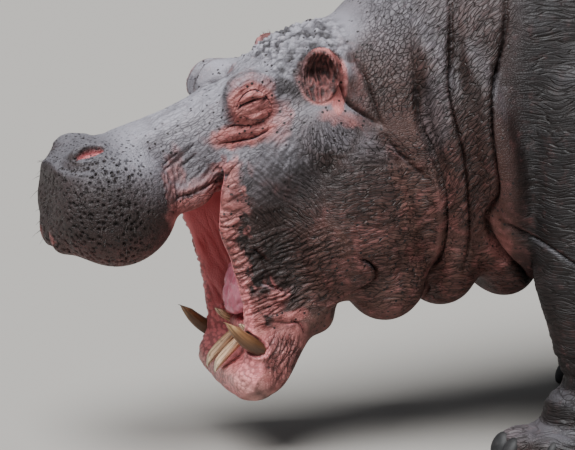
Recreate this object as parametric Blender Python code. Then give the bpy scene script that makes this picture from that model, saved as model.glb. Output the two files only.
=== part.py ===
"""Common hippopotamus, life size, standing in mid stride with its mouth wide open.

Frame: metres, +Z up, head towards -Y, the animal's own left towards +X. While it is being modelled the
plane Y = 0 passes through the ears; the last step moves the origin to the middle of the floor below it.

The flesh is modelled whole, from lofts and ellipsoids that a voxel remesh melts into one another. Thin
cuts then part it into the head, lower jaw, neck, trunk, legs and tail. Ears, eyes, tongue and teeth are
pieces of their own, let into the flesh.
"""

import math
from collections import namedtuple

import bmesh
import bpy
import numpy as np
from mathutils import Euler, Matrix, Vector

# Driving sizes
GAP = 0.0004  # left between neighbouring pieces
FLESH_VOXEL = 0.013  # grid of the remesh that melts the masses together
FLESH_SMOOTHING = 7  # smoothing passes over the melted flesh
FLESH_TRIANGLES = 4400
RING_POINTS = 36  # points round a lofted ring
RINGS_PER_SPAN = 5  # rings between two stations of a loft
LEG_INNER_X, LEG_INNER_Z = 0.190, 0.395  # inner edge of the cut above a leg
LEG_OUTER_X, LEG_OUTER_Z = 0.90, 0.70
HEAD_MAGNIFIED = 1.45  # how much larger the head counts when triangles are shared out
BEYOND = 3.0  # reach of a cutter that has to run right through the body

EAR_CENTRE = (0.198, 0.020, 0.930)  # of the left ear
EAR_TURN_DEG = (0, 12, -27)
EYE_CENTRE = (0.170, -0.152, 0.868)
EYE_RADIUS = 0.027
FORELEG_STRIDE = 0.47  # how far the right forefoot stands behind the left one
HIND_STRIDE = 0.24  # how far the left hind foot stands behind the right one

Station = namedtuple("Station", "x y z side over under")
Tooth = namedtuple("Tooth", "root tip radius bend")
SIDES = (("left", 1), ("right", -1))
TUSK_LIFT = {1: (0.004, 0.008, 0.027), -1: (0, 0, 0)}  # the left lower tusk sits higher than the right one
# Toes of a foot: place across it, how far back, size
TOES = ((-0.098, 0.075, 0.9), (-0.040, 0.0, 1.0), (0.040, 0.0, 1.0), (0.098, 0.075, 0.9))
FOOT_X = 0.335

# Left teeth, from the root inside the gum to the tip
LOWER_TUSK = Tooth((0.163, -0.083, 0.232), (0.181, -0.222, 0.330), 0.0185, (0.010, -0.010, -0.014))
LOWER_MIDDLE = Tooth((0.031, -0.104, 0.290), (0.034, -0.203, 0.196), 0.0125, (0, -0.005, 0.005))
LOWER_OUTER = Tooth((0.098, -0.108, 0.292), (0.104, -0.152, 0.326), 0.0090, (0, -0.003, -0.002))
UPPER_TUSK = Tooth((0.080, -0.420, 0.668), (0.086, -0.436, 0.545), 0.0160, (0.004, -0.008, 0))
UPPER_MIDDLE = Tooth((0.030, -0.473, 0.640), (0.031, -0.487, 0.545), 0.0125, (0, -0.004, 0))
UPPER_OUTER = Tooth((0.068, -0.457, 0.640), (0.072, -0.469, 0.555), 0.0110, (0, -0.004, 0))


def clear_scene():
    for obj in list(bpy.data.objects):
        bpy.data.objects.remove(obj, do_unlink=True)


def material(name, colour, roughness):
    made = bpy.data.materials.new(name)
    made.use_nodes = True
    shader = made.node_tree.nodes["Principled BSDF"]
    shader.inputs["Base Color"].default_value = (*colour, 1.0)
    shader.inputs["Roughness"].default_value = roughness
    shader.inputs["Metallic"].default_value = 0.0
    return made


def add_object(name, mesh_or_bm, finish=None):
    """Links a new object that holds this bmesh or mesh."""
    mesh = mesh_or_bm
    if isinstance(mesh_or_bm, bmesh.types.BMesh):
        mesh = bpy.data.meshes.new(name)
        bmesh.ops.recalc_face_normals(mesh_or_bm, faces=mesh_or_bm.faces)
        mesh_or_bm.to_mesh(mesh)
        mesh_or_bm.free()
    obj = bpy.data.objects.new(name, mesh)
    bpy.context.scene.collection.objects.link(obj)
    if finish:
        mesh.materials.clear()
        mesh.materials.append(finish)
    return obj


def through_stations(rows, per_span):
    """Rows of numbers read from a Catmull-Rom curve through these rows, per_span to each span."""
    rows = np.array(rows, float)
    padded = np.vstack([2 * rows[0] - rows[1], rows, 2 * rows[-1] - rows[-2]])
    made = []
    for i in range(len(rows) - 1):
        a, b, c, d = padded[i : i + 4]
        for t in np.linspace(0, 1, per_span, endpoint=False):
            cubic = (3 * b - a - 3 * c + d) * t**3
            made.append(0.5 * (2 * b + (c - a) * t + (2 * a - 5 * b + 4 * c - d) * t**2 + cubic))
    made.append(rows[-1])
    return np.array(made)


def loft(stations, squareness=2.2, points=RING_POINTS, per_span=RINGS_PER_SPAN):
    """A closed skin over rings square to the line through the stations.

    A ring reaches side to each side along X, and over and under across that, towards X cross the line's
    direction and away from it: above and below on a line that runs back, behind and before on a leg.
    """
    rows = through_stations([tuple(s) for s in stations], per_span)
    centres, sizes = rows[:, :3], np.maximum(rows[:, 3:], 0.002)
    tangents = np.gradient(centres, axis=0)
    bm = bmesh.new()
    rings = []
    for centre, size, tangent in zip(centres, sizes, tangents):
        tangent = Vector(tangent)
        across = Vector((1, 0, 0)).cross(tangent).normalized()
        sideways = tangent.cross(across).normalized()
        ring = []
        for k in range(points):
            angle = 2 * math.pi * k / points
            c, s = math.cos(angle), math.sin(angle)
            u = math.copysign(abs(c) ** (2 / squareness), c) * size[0]
            v = math.copysign(abs(s) ** (2 / squareness), s) * (size[1] if s > 0 else size[2])
            ring.append(bm.verts.new(Vector(centre) + sideways * u + across * v))
        rings.append(ring)
    bridge(bm, rings)
    return bm


def bridge(bm, rings):
    """Faces between rings of equal count, with both ends closed."""
    count = len(rings[0])
    for before, after in zip(rings, rings[1:]):
        for k in range(count):
            bm.faces.new((before[k], before[k - 1], after[k - 1], after[k]))
    bm.faces.new(rings[0])
    bm.faces.new(list(reversed(rings[-1])))


def ellipsoid(centre, radii, tilt_deg=(0, 0, 0), segments=28, rings=18):
    bm = bmesh.new()
    turn = Euler([math.radians(a) for a in tilt_deg]).to_matrix().to_4x4()
    place = Matrix.Translation(centre) @ turn @ Matrix.Diagonal((*radii, 1))
    bmesh.ops.create_uvsphere(bm, u_segments=segments, v_segments=rings, radius=1, matrix=place)
    return bm


def block(low, high):
    bm = bmesh.new()
    low, high = Vector(low), Vector(high)
    size = Matrix.Diagonal((*(high - low), 1))
    bmesh.ops.create_cube(bm, size=1, matrix=Matrix.Translation((low + high) / 2) @ size)
    return bm


def slab(outline, x_low, x_high):
    """The outline's (y, z) points as a plate between two values of x."""
    bm = bmesh.new()
    face = bm.faces.new([bm.verts.new((x_low, y, z)) for y, z in outline])
    moved = bmesh.ops.extrude_face_region(bm, geom=[face])["geom"]
    bmesh.ops.translate(
        bm, vec=(x_high - x_low, 0, 0), verts=[v for v in moved if isinstance(v, bmesh.types.BMVert)]
    )
    return bm


def mirrored(bm):
    copy = bm.copy()
    bmesh.ops.scale(copy, vec=(-1, 1, 1), verts=copy.verts)
    bmesh.ops.reverse_faces(copy, faces=copy.faces)
    return copy


def pair(bm):
    """This mass and its mirror image on the other side of the body."""
    return [bm, mirrored(bm)]


def joined(masses):
    """One bmesh that holds all these masses, still separate and overlapping."""
    whole = bmesh.new()
    for bm in masses:
        bmesh.ops.recalc_face_normals(bm, faces=bm.faces)
        part = bpy.data.meshes.new("mass")
        bm.to_mesh(part)
        bm.free()
        whole.from_mesh(part)
        bpy.data.meshes.remove(part)
    return whole


def apply_modifiers(obj):
    """Gives the object the mesh that its modifiers make, and takes them off."""
    graph = bpy.context.evaluated_depsgraph_get()
    mesh = bpy.data.meshes.new_from_object(obj.evaluated_get(graph))
    obj.modifiers.clear()
    obj.data = mesh
    return obj


def remesh(obj, voxel, smoothing):
    grid = obj.modifiers.new("melt", "REMESH")
    grid.mode = "VOXEL"
    grid.voxel_size = voxel
    ease = obj.modifiers.new("ease", "SMOOTH")
    ease.factor = 0.5
    ease.iterations = smoothing
    return apply_modifiers(obj)


def boolean(obj, operation, cutter):
    """Joins obj with the cutter, cuts it or keeps what both share, exactly, and removes the cutter."""
    cut = obj.modifiers.new("cut", "BOOLEAN")
    cut.operation = operation
    cut.solver = "EXACT"
    cut.object = cutter
    bpy.context.view_layer.update()
    apply_modifiers(obj)
    bpy.data.objects.remove(cutter, do_unlink=True)
    return obj


# ---------------------------------------------------------------- the masses of the body


def trunk_masses():
    """Neck and barrel as one loft from inside the head to the rump."""
    spine = [
        Station(0, -0.04, 0.79, 0.16, 0.19, 0.20),
        Station(0, 0.14, 0.76, 0.245, 0.325, 0.33),
        Station(0, 0.34, 0.76, 0.315, 0.44, 0.36),
        Station(0, 0.55, 0.78, 0.39, 0.545, 0.39),
        Station(0, 0.80, 0.80, 0.47, 0.61, 0.43),
        Station(0, 1.10, 0.80, 0.520, 0.620, 0.46),
        Station(0, 1.50, 0.79, 0.560, 0.615, 0.47),
        Station(0, 1.90, 0.82, 0.545, 0.615, 0.46),
        Station(0, 2.22, 0.88, 0.470, 0.535, 0.41),
        Station(0, 2.46, 0.93, 0.37, 0.39, 0.34),
        Station(0, 2.61, 0.96, 0.24, 0.25, 0.25),
        Station(0, 2.67, 0.97, 0.12, 0.13, 0.15),
    ]
    return [loft(spine)]


def neck_rolls():
    """The heavy folds of skin that hang in rings between the jowls and the shoulders."""
    masses = []
    for y_top, y_side, y_under, half, under, thick in (
        (0.240, 0.310, 0.388, 0.300, 0.390, 0.070),
        (0.335, 0.400, 0.556, 0.345, 0.394, 0.060),
    ):
        ring = []
        for angle in np.linspace(-50, 230, 25):
            down = math.sin(math.radians(angle))
            low, high = max(down, 0), max(-down, 0)
            y = y_side + (y_under - y_side) * low + (y_top - y_side) * high
            z = 0.76 - low * (0.76 - under) + 0.36 * high
            ring.append((math.cos(math.radians(angle)) * half * (1 - 0.1 * low), y, z))
        masses.append(tube(ring, thick))
    return masses


def tube(path, thick):
    """A round bar along a path, thinning to its two ends."""
    points = [Vector(p) for p in path]
    last = len(points) - 1
    count = 14
    bm = bmesh.new()
    rings = []
    for i, centre in enumerate(points):
        tangent = (points[min(i + 1, last)] - points[max(i - 1, 0)]).normalized()
        side = tangent.cross(Vector((0, 1, 0))).normalized()
        up = side.cross(tangent).normalized()
        radius = thick * max(math.sin(math.pi * min(max(i / last, 0.02), 0.98)) ** 0.35, 0.1)
        turns = [2 * math.pi * k / count for k in range(count)]
        spokes = [side * math.cos(t) + up * math.sin(t) for t in turns]
        rings.append([bm.verts.new(centre + spoke * radius) for spoke in spokes])
    bridge(bm, rings)
    return bm


def skull_masses():
    """Cranium and upper jaw: a loft from the occiput to the nose, with lips, nostrils and orbits on it."""
    head = [
        Station(0, 0.16, 0.85, 0.20, 0.19, 0.20),
        Station(0, 0.05, 0.83, 0.215, 0.185, 0.19),
        Station(0, -0.06, 0.80, 0.200, 0.165, 0.15),
        Station(0, -0.16, 0.77, 0.165, 0.13, 0.12),
        Station(0, -0.27, 0.74, 0.118, 0.12, 0.10),
        Station(0, -0.37, 0.715, 0.120, 0.104, 0.09),
        Station(0, -0.46, 0.69, 0.165, 0.084, 0.08),
        Station(0, -0.53, 0.665, 0.180, 0.084, 0.08),
        Station(0, -0.580, 0.65, 0.13, 0.065, 0.07),
    ]
    lip = ellipsoid((0.110, -0.452, 0.621), (0.114, 0.143, 0.138), (12, 0, 0))
    lip_front = ellipsoid((0.082, -0.520, 0.605), (0.100, 0.075, 0.108), (8, 0, 0))
    nostril = ellipsoid((0.080, -0.512, 0.738), (0.050, 0.052, 0.036), (5, 0, 0))
    orbit = ellipsoid((0.138, -0.137, 0.866), (0.067, 0.069, 0.076), (0, 0, -10))
    brow = ellipsoid((0.120, -0.060, 0.885), (0.075, 0.12, 0.055), (-8, 0, 0))
    nose = ellipsoid((0, -0.522, 0.640), (0.095, 0.070, 0.105))
    lip_tip = ellipsoid((0.050, -0.568, 0.562), (0.062, 0.036, 0.058))
    gum = ellipsoid((0.112, -0.285, 0.641), (0.032, 0.075, 0.040), (14, 0, 0))
    paired = [lip, lip_front, nostril, orbit, brow, gum, lip_tip]
    return [loft(head, 2.5), nose] + [mass for one in paired for mass in pair(one)]


def cheek_masses():
    """Jaw muscles, hanging jowls, and the skin stretched between the open jaws on each side."""
    margin = [
        (-0.205, 0.730),
        (-0.222, 0.640),
        (-0.226, 0.562),
        (-0.196, 0.491),
        (-0.172, 0.403),
        (-0.145, 0.300),
        (-0.080, 0.270),
        (0.030, 0.340),
        (0.160, 0.460),
        (0.160, 0.760),
        (-0.080, 0.800),
    ]
    stretched = slab(margin, 0.150, 0.192)
    muscle = ellipsoid((0.165, 0.120, 0.610), (0.130, 0.185, 0.235), (-8, 0, 0))
    upper = ellipsoid((0.150, 0.02, 0.76), (0.105, 0.20, 0.13), (15, 0, 0))
    jowl = ellipsoid((0.125, 0.205, 0.440), (0.125, 0.105, 0.125))
    return pair(stretched) + pair(muscle) + pair(upper) + pair(jowl)


def jaw_masses():
    """Lower jaw, hanging open: a loft from the throat to the chin, flared where the tusks grow."""
    jaw = [
        Station(0, 0.13, 0.575, 0.17, 0.12, 0.12),
        Station(0, 0.055, 0.465, 0.172, 0.115, 0.11),
        Station(0, 0.000, 0.372, 0.168, 0.080, 0.085),
        Station(0, -0.045, 0.292, 0.188, 0.062, 0.062),
        Station(0, -0.088, 0.228, 0.204, 0.060, 0.066),
        Station(0, -0.116, 0.182, 0.188, 0.050, 0.060),
        Station(0, -0.134, 0.150, 0.130, 0.030, 0.034),
    ]
    # The line runs down to the chin, so over lies behind it and under lies on the mouth's side.
    swapped = [s._replace(over=s.under, under=s.over) for s in jaw]
    lip_corner = ellipsoid((0.145, -0.128, 0.190), (0.058, 0.050, 0.062), (-28, 0, 0))
    gum = ellipsoid((0, -0.098, 0.284), (0.100, 0.048, 0.040), (-29, 0, 0))
    tusk_mound = ellipsoid((0.160, -0.096, 0.262), (0.046, 0.050, 0.062), (-30, 0, 0))
    raised_mound = ellipsoid((0.168, -0.090, 0.262), (0.042, 0.042, 0.050), (-30, 0, 0))
    chin_corner = ellipsoid((0.080, -0.143, 0.152), (0.080, 0.030, 0.034))
    chin = ellipsoid((0, -0.143, 0.152), (0.150, 0.032, 0.036))
    fold = ellipsoid((0.085, 0.034, 0.338), (0.080, 0.055, 0.055))
    jaw = [loft(swapped, 2.8), gum, raised_mound, chin]
    return jaw + pair(lip_corner) + pair(tusk_mound) + pair(fold) + pair(chin_corner)


def leg_masses(side, stations, foot_y, toe_reach):
    """A leg down to the ankle, its broad foot and four spread toes."""
    masses = [loft([Station(side * s.x, *s[1:]) for s in stations], 2.2)]
    masses.append(ellipsoid((side * FOOT_X, foot_y, 0.030), (0.122, 0.150, 0.075)))
    masses.append(ellipsoid((side * FOOT_X, foot_y - 0.005, 0.112), (0.098, 0.098, 0.058)))
    for across, back, size in TOES:
        toe = (side * FOOT_X + across, foot_y - toe_reach + back, 0.022)
        masses.append(ellipsoid(toe, (0.040 * size, 0.080 * size, 0.052 * size), (-10, 0, -across * 250)))
    return masses


def foreleg(side, shift):
    """shift moves the foot back along Y; the shoulder stays where it is."""
    stations = [
        Station(0.27, 0.72, 1.02, 0.13, 0.17, 0.16),
        Station(0.325, 0.71 + 0.1 * shift, 0.82, 0.15, 0.20, 0.22),
        Station(0.345, 0.71 + 0.3 * shift, 0.60, 0.145, 0.19, 0.205),
        Station(0.345, 0.71 + 0.55 * shift, 0.42, 0.130, 0.155, 0.195),
        Station(0.338, 0.715 + 0.8 * shift, 0.28, 0.110, 0.125, 0.150),
        Station(0.335, 0.725 + shift, 0.17, 0.104, 0.113, 0.122),
        Station(0.335, 0.720 + shift, 0.08, 0.114, 0.122, 0.125),
        Station(0.335, 0.710 + shift, -0.02, 0.114, 0.110, 0.125),
    ]
    return leg_masses(side, stations, 0.645 + shift, 0.142)


def hind_leg(side, shift):
    stations = [
        Station(0.24, 2.16, 1.06, 0.14, 0.26, 0.26),
        Station(0.31, 2.16 + 0.1 * shift, 0.82, 0.185, 0.29, 0.30),
        Station(0.335, 2.16 + 0.3 * shift, 0.60, 0.165, 0.23, 0.26),
        Station(0.335, 2.20 + 0.5 * shift, 0.42, 0.125, 0.155, 0.17),
        Station(0.330, 2.25 + 0.8 * shift, 0.28, 0.102, 0.12, 0.115),
        Station(0.325, 2.25 + shift, 0.17, 0.098, 0.11, 0.11),
        Station(0.325, 2.235 + shift, 0.08, 0.108, 0.12, 0.13),
        Station(0.325, 2.225 + shift, -0.02, 0.108, 0.11, 0.13),
    ]
    return leg_masses(side, stations, 2.155 + shift, 0.130)


def tail_masses():
    """A short, thick tail, flattened from side to side towards its tip."""
    tail = [
        Station(0, 2.54, 1.10, 0.090, 0.075, 0.075),
        Station(0, 2.675, 1.045, 0.068, 0.055, 0.055),
        Station(0, 2.765, 0.945, 0.050, 0.047, 0.047),
        Station(0, 2.800, 0.82, 0.036, 0.046, 0.046),
        Station(0, 2.805, 0.71, 0.026, 0.045, 0.045),
        Station(0, 2.800, 0.63, 0.016, 0.028, 0.028),
    ]
    return [loft(tail, 2.0)]


def mouth_cutters():
    """What hollows the mouth: the palate between the upper lips, the bed of the tongue, the gullet."""
    palate = ellipsoid((0, -0.355, 0.572), (0.118, 0.185, 0.066), (14, 0, 0))
    bed = ellipsoid((0, -0.046, 0.466), (0.125, 0.062, 0.160), (-29, 0, 0))
    gullet = ellipsoid((0, -0.045, 0.570), (0.140, 0.16, 0.125), (10, 0, 0))
    return [palate, bed, gullet]


def flesh():
    """The whole animal but its ears, eyes, tongue and teeth, as one closed skin."""
    masses = trunk_masses() + neck_rolls() + skull_masses() + cheek_masses() + jaw_masses() + tail_masses()
    masses += foreleg(1, 0) + foreleg(-1, FORELEG_STRIDE)
    masses += hind_leg(1, HIND_STRIDE / 2) + hind_leg(-1, -HIND_STRIDE / 2)
    body = add_object("flesh", joined(masses))
    remesh(body, FLESH_VOXEL, 2)
    hollow = remesh(add_object("cutter", joined(mouth_cutters())), FLESH_VOXEL, 2)
    boolean(body, "DIFFERENCE", hollow)
    remesh(body, FLESH_VOXEL, FLESH_SMOOTHING)
    simplify(body)
    # The soles are flat, all at the level of the floor.
    return boolean(body, "DIFFERENCE", add_object("cutter", block((-2, -2, -1), (2, 4, 0))))


def magnified(points, back=False):
    """The points with the head's end enlarged about the body's long axis, or put back from there."""
    y = np.linspace(-1.5, 4.0, 1101)
    scale = 1 + (HEAD_MAGNIFIED - 1) / (1 + np.exp((y - 0.30) / 0.09))
    along = np.concatenate([[0], np.cumsum((scale[1:] + scale[:-1]) / 2 * np.diff(y))])
    made = points.copy()
    if back:
        made[:, 1] = np.interp(points[:, 1], along, y)
        size = 1 / np.interp(made[:, 1], y, scale)
    else:
        made[:, 1] = np.interp(points[:, 1], y, along)
        size = np.interp(points[:, 1], y, scale)
    made[:, 0] = points[:, 0] * size
    made[:, 2] = points[:, 2] * size
    return made


def with_points(obj, change):
    """Moves the mesh's points by a function of all their places."""
    mesh = obj.data
    points = np.empty(len(mesh.vertices) * 3)
    mesh.vertices.foreach_get("co", points)
    mesh.vertices.foreach_set("co", change(points.reshape(-1, 3)).ravel())
    mesh.update()


def simplify(body):
    """Fewer triangles, with more of them left on the head than on the barrel."""
    with_points(body, magnified)
    less = body.modifiers.new("fewer", "DECIMATE")
    less.ratio = FLESH_TRIANGLES / (2 * len(body.data.polygons))
    apply_modifiers(body)
    with_points(body, lambda points: magnified(points, back=True))


# ---------------------------------------------------------------- the pieces let into the flesh


def ear(side):
    """A short, thick cup that opens outwards and a little forwards, on a stem let into the head."""
    turn = Euler([math.radians(a) for a in EAR_TURN_DEG]).to_matrix().to_4x4()
    place = Matrix.Translation(EAR_CENTRE) @ turn
    outer = ellipsoid((0, 0, 0), (0.038, 0.050, 0.064), segments=10, rings=7)
    hollow = ellipsoid((0.021, -0.001, -0.001), (0.037, 0.040, 0.054), segments=10, rings=7)
    stem = ellipsoid((-0.014, 0.002, -0.050), (0.030, 0.038, 0.040), segments=8, rings=5)
    cup = add_object("cup", outer)
    boolean(cup, "UNION", add_object("cutter", stem))
    boolean(cup, "DIFFERENCE", add_object("cutter", hollow))
    cup.data.transform(place)
    if side < 0:
        cup.data.transform(Matrix.Scale(-1, 4, (1, 0, 0)))
        cup.data.flip_normals()
    return cup


def eye(side):
    x, y, z = EYE_CENTRE
    return add_object("ball", ellipsoid((side * x, y, z), (EYE_RADIUS,) * 3, segments=10, rings=7))


def eye_slit(side):
    """The narrowed opening between the lids, along the head and falling a little towards the nose."""
    x, y, z = EYE_CENTRE
    return ellipsoid((side * (x + 0.030), y, z + 0.001), (0.022, 0.023, 0.0045), (12, 0, 0), 12, 6)


def tooth(shape, side, points=7, rings=5):
    """A curved peg that keeps its thickness for most of its length and ends in a blunt, worn tip."""
    root, tip, bend = (Vector((side * v[0], v[1], v[2])) for v in (shape.root, shape.tip, shape.bend))
    lift = Vector(TUSK_LIFT[side]) if shape is LOWER_TUSK else Vector()
    stations = []
    for i in range(rings):
        t = i / (rings - 1)
        centre = root.lerp(tip, t) + bend * 4 * t * (1 - t) + lift
        radius = shape.radius * (1 - 0.75 * max(0.0, (t - 0.45) / 0.55) ** 1.6)
        stations.append((centre, radius))
    bm = bmesh.new()
    loops = []
    for i, (centre, radius) in enumerate(stations):
        before = stations[max(i - 1, 0)][0]
        after = stations[min(i + 1, rings - 1)][0]
        along = (after - before).normalized()
        side_on = along.cross(Vector((1, 0, 0))).normalized()
        other = along.cross(side_on)
        turns = [2 * math.pi * k / points for k in range(points)]
        spokes = [side_on * math.cos(t) + other * math.sin(t) for t in turns]
        loops.append([bm.verts.new(centre + spoke * radius) for spoke in spokes])
    bridge(bm, loops)
    return bm


def tongue():
    """A broad, blunt tongue that lies back in the lower jaw."""
    body = ellipsoid((0, -0.083, 0.448), (0.105, 0.052, 0.135), (-29, 0, 0), 14, 9)
    return add_object("tongue", body)


def grown(obj, margin):
    """A copy of the object, this much larger all over, to cut its seat with."""
    mesh = obj.data.copy()
    bm = bmesh.new()
    bm.from_mesh(mesh)
    bmesh.ops.recalc_face_normals(bm, faces=bm.faces)
    bm.normal_update()
    moved = [(v, v.co + v.normal * margin * v.calc_shell_factor()) for v in bm.verts]
    for vertex, place in moved:
        vertex.co = place
    bm.to_mesh(mesh)
    bm.free()
    return add_object("seat", mesh)


# ---------------------------------------------------------------- parting the flesh


def beyond_line(a, b, margin):
    """All that lies to the left of the line from a to b in the plane of y and z, moved out by margin."""
    a, b = Vector((0, *a)), Vector((0, *b))
    along = (b - a).normalized()
    left = Vector((1, 0, 0)).cross(along)
    start = a - along * BEYOND - left * margin
    end = b + along * BEYOND - left * margin
    corners = [start, end, end + left * BEYOND, start + left * BEYOND]
    return slab([(c.y, c.z) for c in corners], -BEYOND, BEYOND)


def leg_region(side, root, floor, margin):
    """A leg up to a cut that rises outwards, from under the belly to the height of the elbow.

    root and floor are the ranges of y that it covers at the height of the belly and at the floor.
    """
    bm = bmesh.new()
    for x, top in ((LEG_INNER_X - margin, LEG_INNER_Z + margin), (LEG_OUTER_X, LEG_OUTER_Z + margin)):
        for (low, high), z in ((root, top), (floor, -0.2)):
            bm.verts.new((side * x, low - margin, z))
            bm.verts.new((side * x, high + margin, z))
    bmesh.ops.convex_hull(bm, input=bm.verts)
    return bm


def jaw_region(margin):
    """The lower jaw with its cheeks, clear of the lips that hang in front of it."""
    outline = [
        (0.50, 0.500 + margin),
        (-0.275, 0.602 + margin),
        (-0.275, 0.440),
        (-0.70, 0.300),
        (-0.70, -0.2),
        (0.50, -0.2),
    ]
    return slab(outline, -1, 1)


def part_off(body, name, region):
    """Cuts region(margin) off the body as an object of its own, with the gap between them."""
    piece = add_object(name, body.data.copy())
    boolean(piece, "INTERSECT", add_object("cutter", region(0.0)))
    boolean(body, "DIFFERENCE", add_object("cutter", region(GAP)))
    return piece


def parted(body):
    """The nodes of flesh."""
    pieces = []
    for name, side, root, floor in (
        ("foreleg_left", 1, (0.50, 0.90), (0.30, 0.94)),
        ("foreleg_right", -1, (0.50, 1.13), (0.62, 1.60)),
        ("hindleg_left", 1, (2.03, 2.62), (1.98, 2.62)),
        ("hindleg_right", -1, (1.93, 2.62), (1.70, 2.62)),
    ):
        pieces.append(part_off(body, name, lambda margin: leg_region(side, root, floor, margin)))
    pieces.append(part_off(body, "tail", lambda margin: beyond_line((2.695, 1), (2.695, 0), margin)))
    head = part_off(body, "head", lambda margin: beyond_line((0.30, 0.36), (0.10, 1.05), margin))
    jaw = part_off(head, "lower_jaw", jaw_region)
    pieces += [head, jaw]
    pieces.append(part_off(body, "neck", lambda margin: beyond_line((0.505, 0.35), (0.42, 1.30), margin)))
    body.name = "trunk"
    return pieces + [body]


def main():
    clear_scene()
    hide = material("hide", (0.20, 0.17, 0.17), 0.6)
    pink = material("bare_skin", (0.55, 0.27, 0.25), 0.5)
    ivory = material("ivory", (0.62, 0.48, 0.28), 0.4)
    dark = material("eyeball", (0.03, 0.02, 0.015), 0.15)

    body = flesh()
    for side in (1, -1):
        for shape in (LOWER_MIDDLE, LOWER_OUTER, UPPER_MIDDLE, UPPER_OUTER):
            boolean(body, "UNION", add_object("cutter", tooth(shape, side)))
    seated = []
    for name, side in SIDES:
        seated.append((f"ear_{name}", ear(side), hide))
        seated.append((f"eye_{name}", eye(side), dark))
        seated.append((f"tusk_lower_{name}", add_object("tusk", tooth(LOWER_TUSK, side, 9, 7)), ivory))
        seated.append((f"tusk_upper_{name}", add_object("tusk", tooth(UPPER_TUSK, side, 9, 5)), ivory))
    seated.append(("tongue", tongue(), pink))
    for name, piece, finish in seated:
        boolean(body, "DIFFERENCE", grown(piece, GAP))
        piece.name = name
        piece.data.materials.clear()
        piece.data.materials.append(finish)
    for _, side in SIDES:
        boolean(body, "DIFFERENCE", add_object("cutter", eye_slit(side)))
    nodes = [piece for _, piece, _ in seated]
    for piece in parted(body):
        piece.data.materials.clear()
        piece.data.materials.append(hide)
        nodes.append(piece)
    stand_on_origin(nodes)


def stand_on_origin(nodes):
    """Moves everything so that the origin lies under the middle of the model's box."""
    points = np.array([v.co for node in nodes for v in node.data.vertices])
    low, high = points.min(axis=0), points.max(axis=0)
    middle = (low + high) / 2
    for node in nodes:
        node.data.transform(Matrix.Translation((-middle[0], -middle[1], -low[2])))


main()
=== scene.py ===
"""A life-size common hippopotamus that stands with its mouth wide open, one forefoot before the other.

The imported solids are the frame. One skin stands for all the nodes of flesh: the same masses as in the
CAD are melted together on a finer grid, and the folds, lids, lips, nostrils and wrinkles are then pressed
into it along its normals. The eyes, teeth, tongue, toenails and bristles are pieces of their own.

Modelling frame: metres, +Z up, head towards -Y, the animal's own left towards +X, with Y = 0 through the
ears. AXIS_Y carries it to the frame of the CAD.
"""

import itertools
import math
from collections import namedtuple
from types import SimpleNamespace

import bmesh
import bpy
import numpy as np
from mathutils import Euler, Matrix, Vector


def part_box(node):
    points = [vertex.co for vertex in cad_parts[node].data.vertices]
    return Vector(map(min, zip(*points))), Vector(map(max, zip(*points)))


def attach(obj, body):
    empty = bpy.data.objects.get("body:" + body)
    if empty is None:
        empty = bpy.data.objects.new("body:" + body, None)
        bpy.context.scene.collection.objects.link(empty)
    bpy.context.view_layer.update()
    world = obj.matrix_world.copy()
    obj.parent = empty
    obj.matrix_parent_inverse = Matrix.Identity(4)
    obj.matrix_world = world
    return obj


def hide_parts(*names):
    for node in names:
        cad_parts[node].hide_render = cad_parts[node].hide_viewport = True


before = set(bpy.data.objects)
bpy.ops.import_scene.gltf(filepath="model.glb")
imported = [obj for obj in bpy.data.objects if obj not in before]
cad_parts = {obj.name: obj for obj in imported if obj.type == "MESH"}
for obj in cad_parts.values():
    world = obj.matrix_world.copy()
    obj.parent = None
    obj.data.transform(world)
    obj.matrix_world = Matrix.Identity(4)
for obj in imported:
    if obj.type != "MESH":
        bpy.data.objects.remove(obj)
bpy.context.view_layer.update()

EYE_CENTRE = (0.170, -0.152, 0.868)
EYE_RADIUS = 0.02673  # a hair's breadth inside the CAD's ball
EYE_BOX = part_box("eye_left")
AXIS_Y = (EYE_BOX[0].y + EYE_BOX[1].y) / 2 - EYE_CENTRE[1]  # the plane of the ears in the CAD's frame
COARSE_VOXEL = 0.009
SKIN_VOXEL = 0.0160  # in the magnified space, before the one subdivision
HEAD_SCALE, NECK_SCALE = 2.6, 1.85  # how much finer than the barrel's is the grid on the head and the neck

Station = namedtuple("Station", "x y z side over under")
SIDES = (("left", 1), ("right", -1))


# ---------------------------------------------------------------- mesh tools


def add_object(name, mesh_or_bm):
    """A new object in the scene from a mesh, or from a bmesh, which is freed."""
    mesh = mesh_or_bm
    if isinstance(mesh_or_bm, bmesh.types.BMesh):
        mesh = bpy.data.meshes.new(name)
        bmesh.ops.recalc_face_normals(mesh_or_bm, faces=mesh_or_bm.faces)
        mesh_or_bm.to_mesh(mesh)
        mesh_or_bm.free()
    obj = bpy.data.objects.new(name, mesh)
    bpy.context.scene.collection.objects.link(obj)
    return obj


def through_stations(rows, per_span):
    """Rows of numbers read from a Catmull-Rom curve through these rows, per_span to each span."""
    rows = np.array(rows, float)
    padded = np.vstack([2 * rows[0] - rows[1], rows, 2 * rows[-1] - rows[-2]])
    made = []
    for i in range(len(rows) - 1):
        a, b, c, d = padded[i : i + 4]
        for t in np.linspace(0, 1, per_span, endpoint=False):
            cubic = (3 * b - a - 3 * c + d) * t**3
            made.append(0.5 * (2 * b + (c - a) * t + (2 * a - 5 * b + 4 * c - d) * t**2 + cubic))
    made.append(rows[-1])
    return np.array(made)


RING_POINTS = 48
SPAN_RINGS = 8  # rings from one station to the next


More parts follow.
